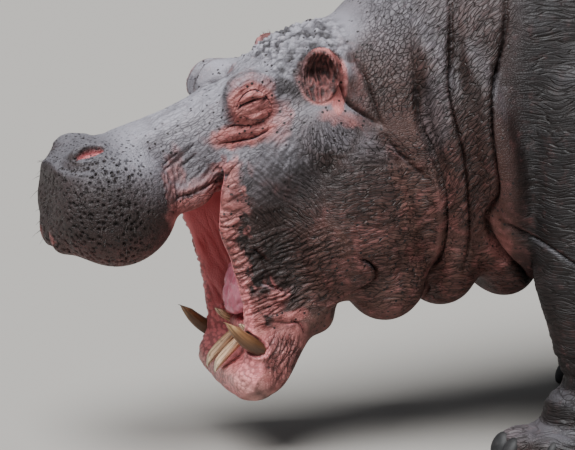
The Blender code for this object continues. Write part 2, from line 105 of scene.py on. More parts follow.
def loft(stations, squareness=2.2):
    """A closed skin over rings square to the line through the stations."""
    rows = through_stations([tuple(s) for s in stations], SPAN_RINGS)
    centres, sizes = rows[:, :3], np.maximum(rows[:, 3:], 0.002)
    tangents = np.gradient(centres, axis=0)
    bm = bmesh.new()
    rings = []
    for centre, size, tangent in zip(centres, sizes, tangents):
        tangent = Vector(tangent)
        across = Vector((1, 0, 0)).cross(tangent).normalized()
        sideways = tangent.cross(across).normalized()
        ring = []
        for k in range(RING_POINTS):
            angle = 2 * math.pi * k / RING_POINTS
            c, s = math.cos(angle), math.sin(angle)
            u = math.copysign(abs(c) ** (2 / squareness), c) * size[0]
            v = math.copysign(abs(s) ** (2 / squareness), s) * (size[1] if s > 0 else size[2])
            ring.append(bm.verts.new(Vector(centre) + sideways * u + across * v))
        rings.append(ring)
    bridge(bm, rings)
    return bm


def bridge(bm, rings):
    """Faces between rings of equal count, with both ends closed."""
    count = len(rings[0])
    for before, after in zip(rings, rings[1:]):
        for k in range(count):
            bm.faces.new((before[k], before[k - 1], after[k - 1], after[k]))
    bm.faces.new(rings[0])
    bm.faces.new(list(reversed(rings[-1])))


def turned(tilt_deg):
    """The rotation by these angles about x, y and z."""
    return Euler([math.radians(a) for a in tilt_deg]).to_matrix()


def ellipsoid(centre, radii, tilt_deg=(0, 0, 0), segments=36, rings=24):
    bm = bmesh.new()
    place = Matrix.Translation(centre) @ turned(tilt_deg).to_4x4() @ Matrix.Diagonal((*radii, 1))
    bmesh.ops.create_uvsphere(bm, u_segments=segments, v_segments=rings, radius=1, matrix=place)
    return bm


def slab(outline, x_low, x_high):
    """The outline's (y, z) points as a plate between two values of x."""
    bm = bmesh.new()
    face = bm.faces.new([bm.verts.new((x_low, y, z)) for y, z in outline])
    moved = bmesh.ops.extrude_face_region(bm, geom=[face])["geom"]
    verts = [v for v in moved if isinstance(v, bmesh.types.BMVert)]
    bmesh.ops.translate(bm, vec=(x_high - x_low, 0, 0), verts=verts)
    return bm


def tube(path, thick):
    """A round bar along a smooth path, thinning to its two ends."""
    count = 16
    points = [Vector(p) for p in through_stations(path, 2)]
    last = len(points) - 1
    bm = bmesh.new()
    rings = []
    for i, centre in enumerate(points):
        tangent = (points[min(i + 1, last)] - points[max(i - 1, 0)]).normalized()
        guide = Vector((0, 1, 0)) if abs(tangent.y) < 0.9 else Vector((0, 0, 1))
        side = tangent.cross(guide).normalized()
        up = side.cross(tangent).normalized()
        radius = thick * max(math.sin(math.pi * min(max(i / last, 0.02), 0.98)) ** 0.35, 0.1)
        turns = [2 * math.pi * k / count for k in range(count)]
        rings.append([bm.verts.new(centre + (side * math.cos(t) + up * math.sin(t)) * radius) for t in turns])
    bridge(bm, rings)
    return bm


def mirrored(bm):
    copy = bm.copy()
    bmesh.ops.scale(copy, vec=(-1, 1, 1), verts=copy.verts)
    bmesh.ops.reverse_faces(copy, faces=copy.faces)
    return copy


def pair(bm):
    """This mass and its mirror image on the other side of the body."""
    return [bm, mirrored(bm)]


def joined(masses):
    """One bmesh that holds all these masses, still separate and overlapping."""
    whole = bmesh.new()
    for bm in masses:
        bmesh.ops.recalc_face_normals(bm, faces=bm.faces)
        part = bpy.data.meshes.new("mass")
        bm.to_mesh(part)
        bm.free()
        whole.from_mesh(part)
        bpy.data.meshes.remove(part)
    return whole


def apply_modifiers(obj):
    """Gives the object the mesh that its modifiers make, and takes them off."""
    graph = bpy.context.evaluated_depsgraph_get()
    mesh = bpy.data.meshes.new_from_object(obj.evaluated_get(graph))
    obj.modifiers.clear()
    obj.data = mesh
    return obj


def remesh(obj, voxel, passes):
    """Melts the object's masses into one closed mesh and smooths it that many times."""
    grid = obj.modifiers.new("melt", "REMESH")
    grid.mode = "VOXEL"
    grid.voxel_size = voxel
    apply_modifiers(obj)
    ease = obj.modifiers.new("ease", "SMOOTH")
    ease.factor = 0.5
    ease.iterations = passes
    return apply_modifiers(obj)


def boolean(obj, operation, cutter):
    cut = obj.modifiers.new("cut", "BOOLEAN")
    cut.operation = operation
    cut.solver = "EXACT"
    cut.object = cutter
    bpy.context.view_layer.update()
    apply_modifiers(obj)
    bpy.data.objects.remove(cutter, do_unlink=True)
    return obj


def points_of(mesh):
    points = np.empty(len(mesh.vertices) * 3)
    mesh.vertices.foreach_get("co", points)
    return points.reshape(-1, 3)


def normals_of(mesh):
    normals = np.empty(len(mesh.vertices) * 3)
    mesh.vertex_normals.foreach_get("vector", normals)
    return normals.reshape(-1, 3)


def set_points(mesh, points):
    mesh.vertices.foreach_set("co", np.ascontiguousarray(points, float).ravel())
    mesh.update()


# ---------------------------------------------------------------- the masses of the body


def trunk_masses():
    spine = [
        Station(0, -0.04, 0.79, 0.16, 0.19, 0.20),
        Station(0, 0.14, 0.76, 0.245, 0.325, 0.33),
        Station(0, 0.34, 0.76, 0.315, 0.44, 0.36),
        Station(0, 0.55, 0.78, 0.39, 0.545, 0.39),
        Station(0, 0.80, 0.80, 0.47, 0.61, 0.43),
        Station(0, 1.10, 0.80, 0.520, 0.620, 0.46),
        Station(0, 1.50, 0.79, 0.560, 0.615, 0.47),
        Station(0, 1.90, 0.82, 0.545, 0.615, 0.46),
        Station(0, 2.22, 0.88, 0.470, 0.535, 0.41),
        Station(0, 2.46, 0.93, 0.37, 0.39, 0.34),
        Station(0, 2.61, 0.96, 0.24, 0.25, 0.25),
        Station(0, 2.67, 0.97, 0.12, 0.13, 0.15),
    ]
    return [loft(spine)]


def neck_rolls():
    """The heavy folds of skin that hang in rings between the jowls and the shoulders."""
    masses = []
    for y_top, y_side, y_under, half, under, thick in (
        (0.240, 0.310, 0.388, 0.300, 0.390, 0.070),
        (0.335, 0.400, 0.556, 0.345, 0.394, 0.060),
    ):
        ring = []
        for angle in np.linspace(-50, 230, 25):
            down = math.sin(math.radians(angle))
            low, high = max(down, 0), max(-down, 0)
            y = y_side + (y_under - y_side) * low + (y_top - y_side) * high
            z = 0.76 - low * (0.76 - under) + 0.36 * high
            ring.append((math.cos(math.radians(angle)) * half * (1 - 0.1 * low), y, z))
        masses.append(tube(ring, thick))
    return masses


def skull_masses():
    head = [
        Station(0, 0.16, 0.85, 0.20, 0.19, 0.20),
        Station(0, 0.05, 0.83, 0.215, 0.185, 0.19),
        Station(0, -0.06, 0.80, 0.200, 0.165, 0.15),
        Station(0, -0.16, 0.77, 0.165, 0.13, 0.12),
        Station(0, -0.27, 0.74, 0.118, 0.12, 0.10),
        Station(0, -0.37, 0.715, 0.120, 0.104, 0.09),
        Station(0, -0.46, 0.69, 0.165, 0.084, 0.08),
        Station(0, -0.53, 0.665, 0.180, 0.084, 0.08),
        Station(0, -0.580, 0.65, 0.13, 0.065, 0.07),
    ]
    lip = ellipsoid((0.110, -0.452, 0.621), (0.114, 0.143, 0.138), (12, 0, 0))
    lip_front = ellipsoid((0.082, -0.520, 0.605), (0.100, 0.075, 0.108), (8, 0, 0))
    nostril = ellipsoid((0.080, -0.512, 0.738), (0.050, 0.052, 0.036), (5, 0, 0))
    orbit = ellipsoid((0.138, -0.137, 0.866), (0.067, 0.069, 0.076), (0, 0, -10))
    brow = ellipsoid((0.120, -0.060, 0.885), (0.075, 0.12, 0.055), (-8, 0, 0))
    nose = ellipsoid((0, -0.522, 0.640), (0.095, 0.070, 0.105))
    lip_tip = ellipsoid((0.050, -0.568, 0.562), (0.062, 0.036, 0.058))
    gum = ellipsoid((0.112, -0.285, 0.641), (0.032, 0.075, 0.040), (14, 0, 0))
    paired = [lip, lip_front, nostril, orbit, brow, gum, lip_tip]
    return [loft(head, 2.5), nose] + [mass for one in paired for mass in pair(one)]


def cheek_masses():
    """Jaw muscles, hanging jowls, and the skin stretched between the open jaws on each side."""
    margin = [
        (-0.205, 0.730),
        (-0.222, 0.640),
        (-0.226, 0.562),
        (-0.196, 0.491),
        (-0.172, 0.403),
        (-0.145, 0.300),
        (-0.080, 0.270),
        (0.030, 0.340),
        (0.160, 0.460),
        (0.160, 0.760),
        (-0.080, 0.800),
    ]
    stretched = slab(margin, 0.150, 0.192)
    muscle = ellipsoid((0.165, 0.120, 0.610), (0.130, 0.185, 0.235), (-8, 0, 0))
    upper = ellipsoid((0.150, 0.02, 0.76), (0.105, 0.20, 0.13), (15, 0, 0))
    jowl = ellipsoid((0.125, 0.205, 0.440), (0.125, 0.105, 0.125))
    return pair(stretched) + pair(muscle) + pair(upper) + pair(jowl)


def jaw_masses():
    """Lower jaw, hanging open: a loft from the throat to the chin, flared where the tusks grow."""
    jaw = [
        Station(0, 0.13, 0.575, 0.17, 0.12, 0.12),
        Station(0, 0.055, 0.465, 0.172, 0.115, 0.11),
        Station(0, 0.000, 0.372, 0.168, 0.080, 0.085),
        Station(0, -0.045, 0.292, 0.188, 0.062, 0.062),
        Station(0, -0.088, 0.228, 0.204, 0.060, 0.066),
        Station(0, -0.116, 0.182, 0.188, 0.050, 0.060),
        Station(0, -0.134, 0.150, 0.130, 0.030, 0.034),
    ]
    # The line runs down to the chin, so over lies behind it and under lies on the mouth's side.
    swapped = [s._replace(over=s.under, under=s.over) for s in jaw]
    lip_corner = ellipsoid((0.145, -0.128, 0.190), (0.058, 0.050, 0.062), (-28, 0, 0))
    gum = ellipsoid((0, -0.098, 0.284), (0.100, 0.048, 0.040), (-29, 0, 0))
    tusk_mound = ellipsoid((0.160, -0.096, 0.262), (0.046, 0.050, 0.062), (-30, 0, 0))
    raised_mound = ellipsoid((0.168, -0.090, 0.262), (0.042, 0.042, 0.050), (-30, 0, 0))
    chin_corner = ellipsoid((0.080, -0.143, 0.152), (0.080, 0.030, 0.034))
    chin = ellipsoid((0, -0.143, 0.152), (0.150, 0.032, 0.036))
    fold = ellipsoid((0.085, 0.034, 0.338), (0.080, 0.055, 0.055))
    jaw = [loft(swapped, 2.8), gum, raised_mound, chin]
    return jaw + pair(lip_corner) + pair(tusk_mound) + pair(fold) + pair(chin_corner)


# The four toes of a foot: how far across and back from the foremost, and size.
TOES = ((-0.098, 0.075, 0.9), (-0.040, 0.0, 1.0), (0.040, 0.0, 1.0), (0.098, 0.075, 0.9))
TOE_SPLAY_DEG = 250  # how far a toe turns outwards for each metre from the middle of the foot
FOOT_X = 0.335
FORE_FOOT_Y, FORE_TOE_REACH = 0.645, 0.142  # the middle of the foot, and how far its toes lie before it
HIND_FOOT_Y, HIND_TOE_REACH = 2.155, 0.130
# Each leg: side, and how far back it stands from the foot's place above.
FORELEGS = (("left", 1, 0.0), ("right", -1, 0.47))
HIND_LEGS = (("left", 1, 0.12), ("right", -1, -0.12))


def leg_masses(side, stations, foot_y, toe_reach):
    """A leg down to the ankle, its broad foot and four spread toes."""
    masses = [loft([Station(side * s.x, *s[1:]) for s in stations], 2.2)]
    masses.append(ellipsoid((side * FOOT_X, foot_y, 0.030), (0.122, 0.150, 0.075)))
    masses.append(ellipsoid((side * FOOT_X, foot_y - 0.005, 0.112), (0.098, 0.098, 0.058)))
    for across, back, size in TOES:
        toe = (side * FOOT_X + across, foot_y - toe_reach + back, 0.022)
        tilt_deg = (-10, 0, -across * TOE_SPLAY_DEG)
        masses.append(ellipsoid(toe, (0.040 * size, 0.080 * size, 0.052 * size), tilt_deg))
    return masses


def foreleg(side, shift):
    stations = [
        Station(0.27, 0.72, 1.02, 0.13, 0.17, 0.16),
        Station(0.325, 0.71 + 0.1 * shift, 0.82, 0.15, 0.20, 0.22),
        Station(0.345, 0.71 + 0.3 * shift, 0.60, 0.145, 0.19, 0.205),
        Station(0.345, 0.71 + 0.55 * shift, 0.42, 0.130, 0.155, 0.195),
        Station(0.338, 0.715 + 0.8 * shift, 0.28, 0.110, 0.125, 0.150),
        Station(0.335, 0.725 + shift, 0.17, 0.104, 0.113, 0.122),
        Station(0.335, 0.720 + shift, 0.08, 0.114, 0.122, 0.125),
        Station(0.335, 0.710 + shift, -0.02, 0.114, 0.110, 0.125),
    ]
    return leg_masses(side, stations, FORE_FOOT_Y + shift, FORE_TOE_REACH)


def hind_leg(side, shift):
    stations = [
        Station(0.24, 2.16, 1.06, 0.14, 0.26, 0.26),
        Station(0.31, 2.16 + 0.1 * shift, 0.82, 0.185, 0.29, 0.30),
        Station(0.335, 2.16 + 0.3 * shift, 0.60, 0.165, 0.23, 0.26),
        Station(0.335, 2.20 + 0.5 * shift, 0.42, 0.125, 0.155, 0.17),
        Station(0.330, 2.25 + 0.8 * shift, 0.28, 0.102, 0.12, 0.115),
        Station(0.325, 2.25 + shift, 0.17, 0.098, 0.11, 0.11),
        Station(0.325, 2.235 + shift, 0.08, 0.108, 0.12, 0.13),
        Station(0.325, 2.225 + shift, -0.02, 0.108, 0.11, 0.13),
    ]
    return leg_masses(side, stations, HIND_FOOT_Y + shift, HIND_TOE_REACH)


def tail_masses():
    tail = [
        Station(0, 2.54, 1.10, 0.090, 0.075, 0.075),
        Station(0, 2.675, 1.045, 0.068, 0.055, 0.055),
        Station(0, 2.765, 0.945, 0.050, 0.047, 0.047),
        Station(0, 2.800, 0.82, 0.036, 0.046, 0.046),
        Station(0, 2.805, 0.71, 0.026, 0.045, 0.045),
        Station(0, 2.800, 0.63, 0.016, 0.028, 0.028),
    ]
    return [loft(tail, 2.0)]


MOUTH_HOLLOWS = (
    # the palate, the tongue's bed and the gullet: centre, half sizes, tilt in degrees
    ((0, -0.355, 0.572), (0.118, 0.185, 0.066), (14, 0, 0)),
    ((0, -0.046, 0.466), (0.125, 0.062, 0.160), (-29, 0, 0)),
    ((0, -0.045, 0.570), (0.140, 0.16, 0.125), (10, 0, 0)),
)
EAR_CENTRE = (0.198, 0.020, 0.930)
EAR_TURN_DEG = (0, 12, -27)
# The ear's parts, as ellipsoids about its own centre: the whole, its stem, and the hollow in its outer face.
EAR_WHOLE = ((0, 0, 0), (0.038, 0.050, 0.064))
EAR_STEM = ((-0.014, 0.002, -0.050), (0.030, 0.038, 0.040))
EAR_HOLLOW = ((0.021, -0.001, -0.001), (0.037, 0.040, 0.054))


def ear_masses():
    cup = add_object("cup", ellipsoid(*EAR_WHOLE))
    boolean(cup, "UNION", add_object("cutter", ellipsoid(*EAR_STEM)))
    boolean(cup, "DIFFERENCE", add_object("cutter", ellipsoid(*EAR_HOLLOW)))
    bm = bmesh.new()
    bm.from_mesh(cup.data)
    bpy.data.objects.remove(cup, do_unlink=True)
    place = Matrix.Translation(EAR_CENTRE) @ turned(EAR_TURN_DEG).to_4x4()
    bmesh.ops.transform(bm, matrix=place, verts=bm.verts)
    return pair(bm)


# ---------------------------------------------------------------- the skin's grid


def magnified(points, back=False):
    """The points with the head and neck enlarged, so that one voxel size gives them a finer grid."""
    y = np.linspace(-1.5, 4.0, 2201)
    scale = 1 + (NECK_SCALE - 1) / (1 + np.exp((y - 0.95) / 0.10))
    scale += (HEAD_SCALE - NECK_SCALE) / (1 + np.exp((y - 0.24) / 0.05))
    along = np.concatenate([[0], np.cumsum((scale[1:] + scale[:-1]) / 2 * np.diff(y))])
    made = points.copy()
    if back:
        made[:, 1] = np.interp(points[:, 1], along, y)
        size = 1 / np.interp(made[:, 1], y, scale)
    else:
        made[:, 1] = np.interp(points[:, 1], y, along)
        size = np.interp(points[:, 1], y, scale)
    made[:, 0] = points[:, 0] * size
    made[:, 2] = points[:, 2] * size
    return made


NOSTRIL_BOX = ((0.02, -0.54, 0.70), (0.20, -0.41, 0.83))
CORNER_BOX = ((0.08, -0.26, 0.10), (0.30, 0.01, 0.60))  # the side of the lower jaw and the stretched cheek


def refine(skin):
    """Splits the faces round the eyes, ears and nostrils and along the jaw, for a finer grid there."""
    q = np.abs(points_of(skin.data) * (1, 0, 0)) + points_of(skin.data) * (0, 1, 1)
    fine = np.linalg.norm(q - EYE_CENTRE, axis=1) < 0.078
    fine |= np.linalg.norm(q - EAR_CENTRE, axis=1) < 0.085
    for low, high in (NOSTRIL_BOX, CORNER_BOX):
        fine |= ((q > low) & (q < high)).all(1)
    bm = bmesh.new()
    bm.from_mesh(skin.data)
    edges = [e for e in bm.edges if fine[e.verts[0].index] and fine[e.verts[1].index]]
    made = bmesh.ops.subdivide_edges(bm, edges=edges, cuts=1, use_grid_fill=True)
    fresh = [v for v in made["geom_inner"] if isinstance(v, bmesh.types.BMVert)]
    bmesh.ops.smooth_vert(bm, verts=fresh, factor=0.5, use_axis_x=True, use_axis_y=True, use_axis_z=True)
    bm.to_mesh(skin.data)
    bm.free()


def base_skin():
    """The whole animal but its eyes, tongue and teeth, smooth, as one closed mesh."""
    masses = trunk_masses() + neck_rolls() + skull_masses() + cheek_masses() + jaw_masses() + tail_masses()
    for build, legs in ((foreleg, FORELEGS), (hind_leg, HIND_LEGS)):
        for _, side, shift in legs:
            masses += build(side, shift)
    skin = add_object("skin", joined(masses))
    remesh(skin, COARSE_VOXEL, 3)
    cutters = joined([ellipsoid(*hollow) for hollow in MOUTH_HOLLOWS])
    hollow = remesh(add_object("cutter", cutters), COARSE_VOXEL, 3)
    boolean(skin, "DIFFERENCE", hollow)
    remesh(skin, COARSE_VOXEL, 14)
    with_ears = bmesh.new()
    with_ears.from_mesh(skin.data)
    mesh = bpy.data.meshes.new("skin")
    joined([with_ears] + ear_masses()).to_mesh(mesh)
    skin.data = mesh
    set_points(skin.data, magnified(points_of(skin.data)))
    remesh(skin, SKIN_VOXEL, 4)
    set_points(skin.data, magnified(points_of(skin.data), back=True))
    refine(skin)
    finer = skin.modifiers.new("finer", "SUBSURF")
    finer.levels = 1
    finer.render_levels = 1
    apply_modifiers(skin)
    points = points_of(skin.data)
    points[:, 2] = np.maximum(points[:, 2], 0.0)
    set_points(skin.data, points)
    return skin


# ---------------------------------------------------------------- the side plane

# Places on the head and neck are given on a side plane, as (s, t): s metres back and t metres up from a
# point below the ears, as they show from six metres off the left cheek. The right side mirrors the left.
SIDE_CENTRE = np.array((0, 0, 0.54))
SIDE_OUT = np.array((0.938, -0.305, 0.165))
SIDE_BACK = np.array((0.309, 0.951, 0.0))
SIDE_UP = np.array((-0.157, 0.051, 0.986))
SIDE_DISTANCE = 6.0


def step(low, high, value):
    """0 at low, 1 at high, with a smooth ramp between them; the two may be in either order."""
    share = np.clip((value - low) / (high - low), 0, 1)
    return share * share * (3 - 2 * share)


def bell(value, width):
    return np.exp(-((value / width) ** 2))


class Hide:
    """The skin's points p and normals n, where the points lie on the side plane, and what is done to them.

    q and m are the points and normals with the right half mirrored to the left. rise and slide are how far
    each point is to move along its normal and over the side plane at the next press.
    """

    def __init__(self, mesh):
        self.mesh = mesh
        count = len(mesh.vertices)
        # The colour darkens with line, as painted shade in the creases.
        self.line = np.zeros(count)  # how deep in a crease each point lies, from 0 to 1
        self.flow = np.zeros((count, 3))  # a place in the pattern of the creases that lead here
        self.first = np.zeros(count)  # how strongly the leading pattern is felt
        self.second = np.zeros(count)  # and the next one
        self.refresh()

    def refresh(self):
        self.p = points_of(self.mesh)
        self.n = normals_of(self.mesh)
        self.side = np.where(self.p[:, 0] < 0, -1.0, 1.0)
        self.q, self.m = self.p.copy(), self.n.copy()
        self.q[:, 0] *= self.side
        self.m[:, 0] *= self.side
        away = self.q - SIDE_CENTRE
        near = SIDE_DISTANCE / (SIDE_DISTANCE - away @ SIDE_OUT)
        self.s = away @ SIDE_BACK * near
        self.t = away @ SIDE_UP * near
        self.facing = step(0.02, 0.35, self.m @ SIDE_OUT)
        self.rise = np.zeros(len(self.p))
        self.slide = np.zeros((len(self.p), 2))

    def press(self):
        """Moves the points by what has been asked for since the last time."""
        along = self.slide[:, :1] * SIDE_BACK + self.slide[:, 1:] * SIDE_UP
        along -= (along * self.m).sum(1, keepdims=True) * self.m
        along[:, 0] *= self.side
        set_points(self.mesh, self.p + self.n * self.rise[:, None] + along)
        self.refresh()

    def blob(self, s, t, across, up, turn_deg=0):
        """1 in an ellipse on the side plane, fading to 0 round it, on outward faces only."""
        a = math.radians(turn_deg)
        u = (self.s - s) * math.cos(a) + (self.t - t) * math.sin(a)
        v = (self.t - t) * math.cos(a) - (self.s - s) * math.sin(a)
        return step(1.35, 0.65, np.sqrt((u / across) ** 2 + (v / up) ** 2)) * self.facing

    def near(self, curve, reach):
        """The points within reach of a smooth curve: index, offset from it, distance, side and share.

        Side is +1 to the left of the curve as it runs, -1 to its right; share goes from 0 to 1 along it.
        """
        curve = through_stations(curve, 6)
        low, high = curve.min(0) - reach, curve.max(0) + reach
        inside = (self.s > low[0]) & (self.s < high[0]) & (self.t > low[1]) & (self.t < high[1])
        index = np.flatnonzero(inside & (self.facing > 0))
        at = np.stack([self.s[index], self.t[index]], 1)
        best = np.full(len(index), 1e9)
        offset = np.zeros((len(index), 2))
        side = np.ones(len(index))
        share = np.zeros(len(index))
        count = len(curve) - 1
        for i, (a, b) in enumerate(zip(curve, curve[1:])):
            run = b - a
            along = np.clip((at - a) @ run / (run @ run), 0, 1)
            off = at - a - along[:, None] * run
            gap = (off * off).sum(1)
            closer = gap < best
            best[closer] = gap[closer]
            offset[closer] = off[closer]
            cross = run[0] * off[:, 1] - run[1] * off[:, 0]
            side[closer] = np.sign(cross[closer])
            share[closer] = (i + along[closer]) / count
        distance = np.sqrt(best)
        keep = distance < reach
        return index[keep], offset[keep], distance[keep], side[keep], share[keep]

    def fading(self, index, share, ends):
        """1 along a curve, less towards those of its two ends where it dies away, and on edgewise faces."""
        fade = np.ones(len(index))
        if ends[0]:
            fade *= step(0, 0.25, share)
        if ends[1]:
            fade *= step(1, 0.75, share)
        return fade * self.facing[index]

    def fold(self, curve, depth, width, lip, ends=(1, 1)):
        """A crease with a sharp floor, towards which it draws the skin.

        lip raises its left bank and sinks its right one. ends tells for the start and the end whether the
        crease dies away there.
        """
        index, offset, distance, side, share = self.near(curve, width * 7)
        fade = self.fading(index, share, ends)
        profile = -depth * np.exp(-distance / width) * (1 + 0.5 * bell(distance, width))
        bank = bell(distance - 2.6 * width, 2.2 * width)
        profile += lip * bank * np.where(side > 0, 1.0, -0.6)
        self.rise[index] += profile * fade
        self.line[index] = np.maximum(self.line[index], np.exp(-distance / width) * fade)
        pull = 0.35 * bell(distance, 2.5 * width) * fade
        self.slide[index] -= offset * pull[:, None]

    def ridge(self, curve, height, width):
        """A rounded swelling along a curve, dying away at both ends."""
        index, _, distance, _, share = self.near(curve, width * 3)
        self.rise[index] += height * bell(distance, width) * self.fading(index, share, (1, 1))


def calm(hide, mask, passes):
    """Draws each point towards the middle of its neighbours where the mask is above 0."""
    ends = np.empty(2 * len(hide.mesh.edges), int)
    hide.mesh.edges.foreach_get("vertices", ends)
    ends = ends.reshape(-1, 2)
    ends = ends[(mask[ends] > 0).any(1)]
    first, second = ends[:, 0], ends[:, 1]
    count = len(hide.p)
    number = np.bincount(first, minlength=count) + np.bincount(second, minlength=count)
    share = 0.6 * mask / np.maximum(number, 1)
    p = hide.p.copy()
    for _ in range(passes):
        for k in range(3):
            gap = p[second, k] - p[first, k]
            pull = np.bincount(first, gap, count) + np.bincount(second, -gap, count)
            p[:, k] += pull * share
    set_points(hide.mesh, p)
    hide.refresh()


# ---------------------------------------------------------------- noise

SHUFFLE = np.random.default_rng(7).permutation(256)
SLOPES = np.random.default_rng(8).normal(size=(256, 3))
SLOPES /= np.linalg.norm(SLOPES, axis=1, keepdims=True)


def shuffled(cell):
    """A number from 0 to 255 for each cell of a lattice, in no order but always the same."""
    at = cell & 255
    return SHUFFLE[(SHUFFLE[(SHUFFLE[at[:, 0]] + at[:, 1]) & 255] + at[:, 2]) & 255]


def noise(points, seed):
    """Smooth gradient noise at each point, from about -0.7 to 0.7, on a lattice of unit cells."""
    points = points + 31.7 * seed
    cell = np.floor(points).astype(int)
    inside = points - cell
    ease = inside**3 * (inside * (inside * 6 - 15) + 10)
    total = np.zeros(len(points))
    for corner in itertools.product((0, 1), repeat=3):
        share = np.where(np.array(corner, bool), ease, 1 - ease).prod(1)
        total += (SLOPES[shuffled(cell + corner)] * (inside - corner)).sum(1) * share
    return total


def cells(points, seed):
    """Distance from each point to the nearest of scattered seeds, one to a unit cell, and its number."""
    points = points + 17.3 * seed
    home = np.floor(points).astype(int)
    best = np.full(len(points), 9.0)
    number = np.zeros(len(points), int)
    for step_to in itertools.product((-1, 0, 1), repeat=3):
        pick = shuffled(home + step_to)
        place = home + step_to + 0.5 + 0.42 * SLOPES[pick]
        gap = ((points - place) ** 2).sum(1)
        closer = gap < best
        best[closer] = gap[closer]
        number[closer] = pick[closer]
    return np.sqrt(best), number


CREASE_WIDTH = 0.16  # of a crease, as the value of the noise at its edge
MASK_FLOOR = 0.02  # a mask below this counts as 0


def wrinkles(hide, mask, turn_deg, spacing, length, depth, seed, leads=True):
    """A web of creases that run along one direction on the side plane, where the mask is above 0."""
    index = np.flatnonzero(mask > MASK_FLOOR)
    a = math.radians(turn_deg)
    along = SIDE_BACK * math.cos(a) + SIDE_UP * math.sin(a)
    across = SIDE_UP * math.cos(a) - SIDE_BACK * math.sin(a)
    q = hide.q[index]
    warp = noise(q / (spacing * 5), seed + 40) * spacing * 1.2
    at = np.stack([q @ along / length, (q @ across + warp) / spacing, q @ SIDE_OUT / length], 1)
    at[:, 2] += hide.side[index] * 9.3
    carve(hide, index, at, mask[index], depth, seed, CREASE_WIDTH, leads)


def level_wrinkles(hide, mask, spacing, length, depth, seed, width=CREASE_WIDTH, leads=True):
    """A web of creases that run level round the body and the legs."""
    index = np.flatnonzero(mask > MASK_FLOOR)
    p = hide.p[index]
    warp = noise(p / (spacing * 6), seed + 40) * spacing * 1.6
    at = np.stack([p[:, 0] / length, (p[:, 2] + warp) / spacing, p[:, 1] / length], 1)
    carve(hide, index, at, mask[index], depth, seed, width, leads)


def carve(hide, index, at, mask, depth, seed, width, leads):
    """Sinks a web of lines and lifts what lies between them as much, so that the skin keeps its place.

    A pattern that leads also lends its directions to the finest lines of the skin.
    """
    line = mask * bell(noise(at, seed), width)
    hide.rise[index] += depth * (0.35 * mask - line)
    hide.line[index] = np.maximum(hide.line[index], line * min(depth / 0.003, 1))
    if not leads:
        return
    before = hide.first[index]
    stronger = mask > before
    hide.second[index] = np.where(stronger, before, np.maximum(hide.second[index], mask))
    hide.first[index] = np.where(stronger, mask, before)
    hide.flow[index[stronger]] = at[stronger]


def fan(hide, mask, s, t, spokes, reach, depth, seed):
    """Creases that run out from a point on the side plane."""
    index = np.flatnonzero(mask > MASK_FLOOR)
    u = hide.s[index] - s
    v = hide.t[index] - t
    radius = np.hypot(u, v)
    turn = spokes * np.arctan2(u, -v) / (2 * math.pi)
    at = np.stack([radius / reach, turn, np.zeros_like(turn)], 1)
    at += 0.5 * noise(hide.q[index] / 0.03, seed + 40)[:, None]
    carve(hide, index, at, mask[index], depth, seed, CREASE_WIDTH, True)


def pebbles(hide, mask, size, depth, seed):
    """Small rounded lumps with creases between them."""
    index = np.flatnonzero(mask > MASK_FLOOR)
    distance, _ = cells(hide.p[index] / size, seed)
    hide.rise[index] += depth * mask[index] * (0.45 - distance)
    edge = mask[index] * step(0.42, 0.62, distance) * min(depth / 0.003, 1)
    hide.line[index] = np.maximum(hide.line[index], edge)


def pits(hide, mask, size, depth, seed):
    """Small round pits, darkened at the bottom with painted shade, with raised skin between them."""
    index = np.flatnonzero(mask > MASK_FLOOR)
    distance, number = cells(hide.p[index] / size, seed)
    pit = step(0.50, 0.16, distance) * (number % 7 > 0)
    hide.rise[index] += depth * mask[index] * (0.25 - pit)
    hide.line[index] = np.maximum(hide.line[index], mask[index] * pit)


# ---------------------------------------------------------------- where things lie on the side plane

NECK_CREASES = (
    # from the top down, each with the roll that overlaps it in front: curve, depth, width, lip
    (
        ((0.298, 0.428), (0.304, 0.373), (0.309, 0.329), (0.318, 0.249), (0.344, 0.183), (0.366, 0.110),
         (0.380, 0.056), (0.382, -0.012), (0.373, -0.063), (0.357, -0.106), (0.334, -0.168)),
        0.016, 0.0065, -0.008, (1, 0),
    ),
    (
        ((0.394, 0.62), (0.396, 0.549), (0.399, 0.402), (0.402, 0.311), (0.421, 0.227), (0.435, 0.166),
         (0.444, 0.093), (0.449, 0.0), (0.446, -0.055), (0.435, -0.102), (0.420, -0.145)),
        0.018, 0.0065, -0.008, (1, 1),
    ),
    (
        ((0.536, 0.62), (0.533, 0.549), (0.530, 0.476), (0.516, 0.402), (0.509, 0.344), (0.501, 0.256),
         (0.506, 0.146), (0.510, 0.080), (0.494, 0.037), (0.489, 0.007), (0.501, -0.040),
         (0.533, -0.090), (0.587, -0.129)),
        0.022, 0.0070, -0.006, (1, 0),
    ),
)
EYE_SLIT = (
    (-0.124, 0.279), (-0.114, 0.289), (-0.103, 0.2955), (-0.084, 0.3025), (-0.068, 0.3075), (-0.055, 0.3085),
    (-0.046, 0.305),
)
LID_FOLD = (
    (-0.128, 0.272), (-0.124, 0.286), (-0.113, 0.310), (-0.097, 0.325), (-0.081, 0.330), (-0.065, 0.325),
    (-0.048, 0.310), (-0.038, 0.294), (-0.036, 0.280),
)
BAG_FOLD = (
    (-0.036, 0.282), (-0.040, 0.270), (-0.050, 0.260), (-0.065, 0.254), (-0.087, 0.255), (-0.106, 0.263),
    (-0.119, 0.273),
)
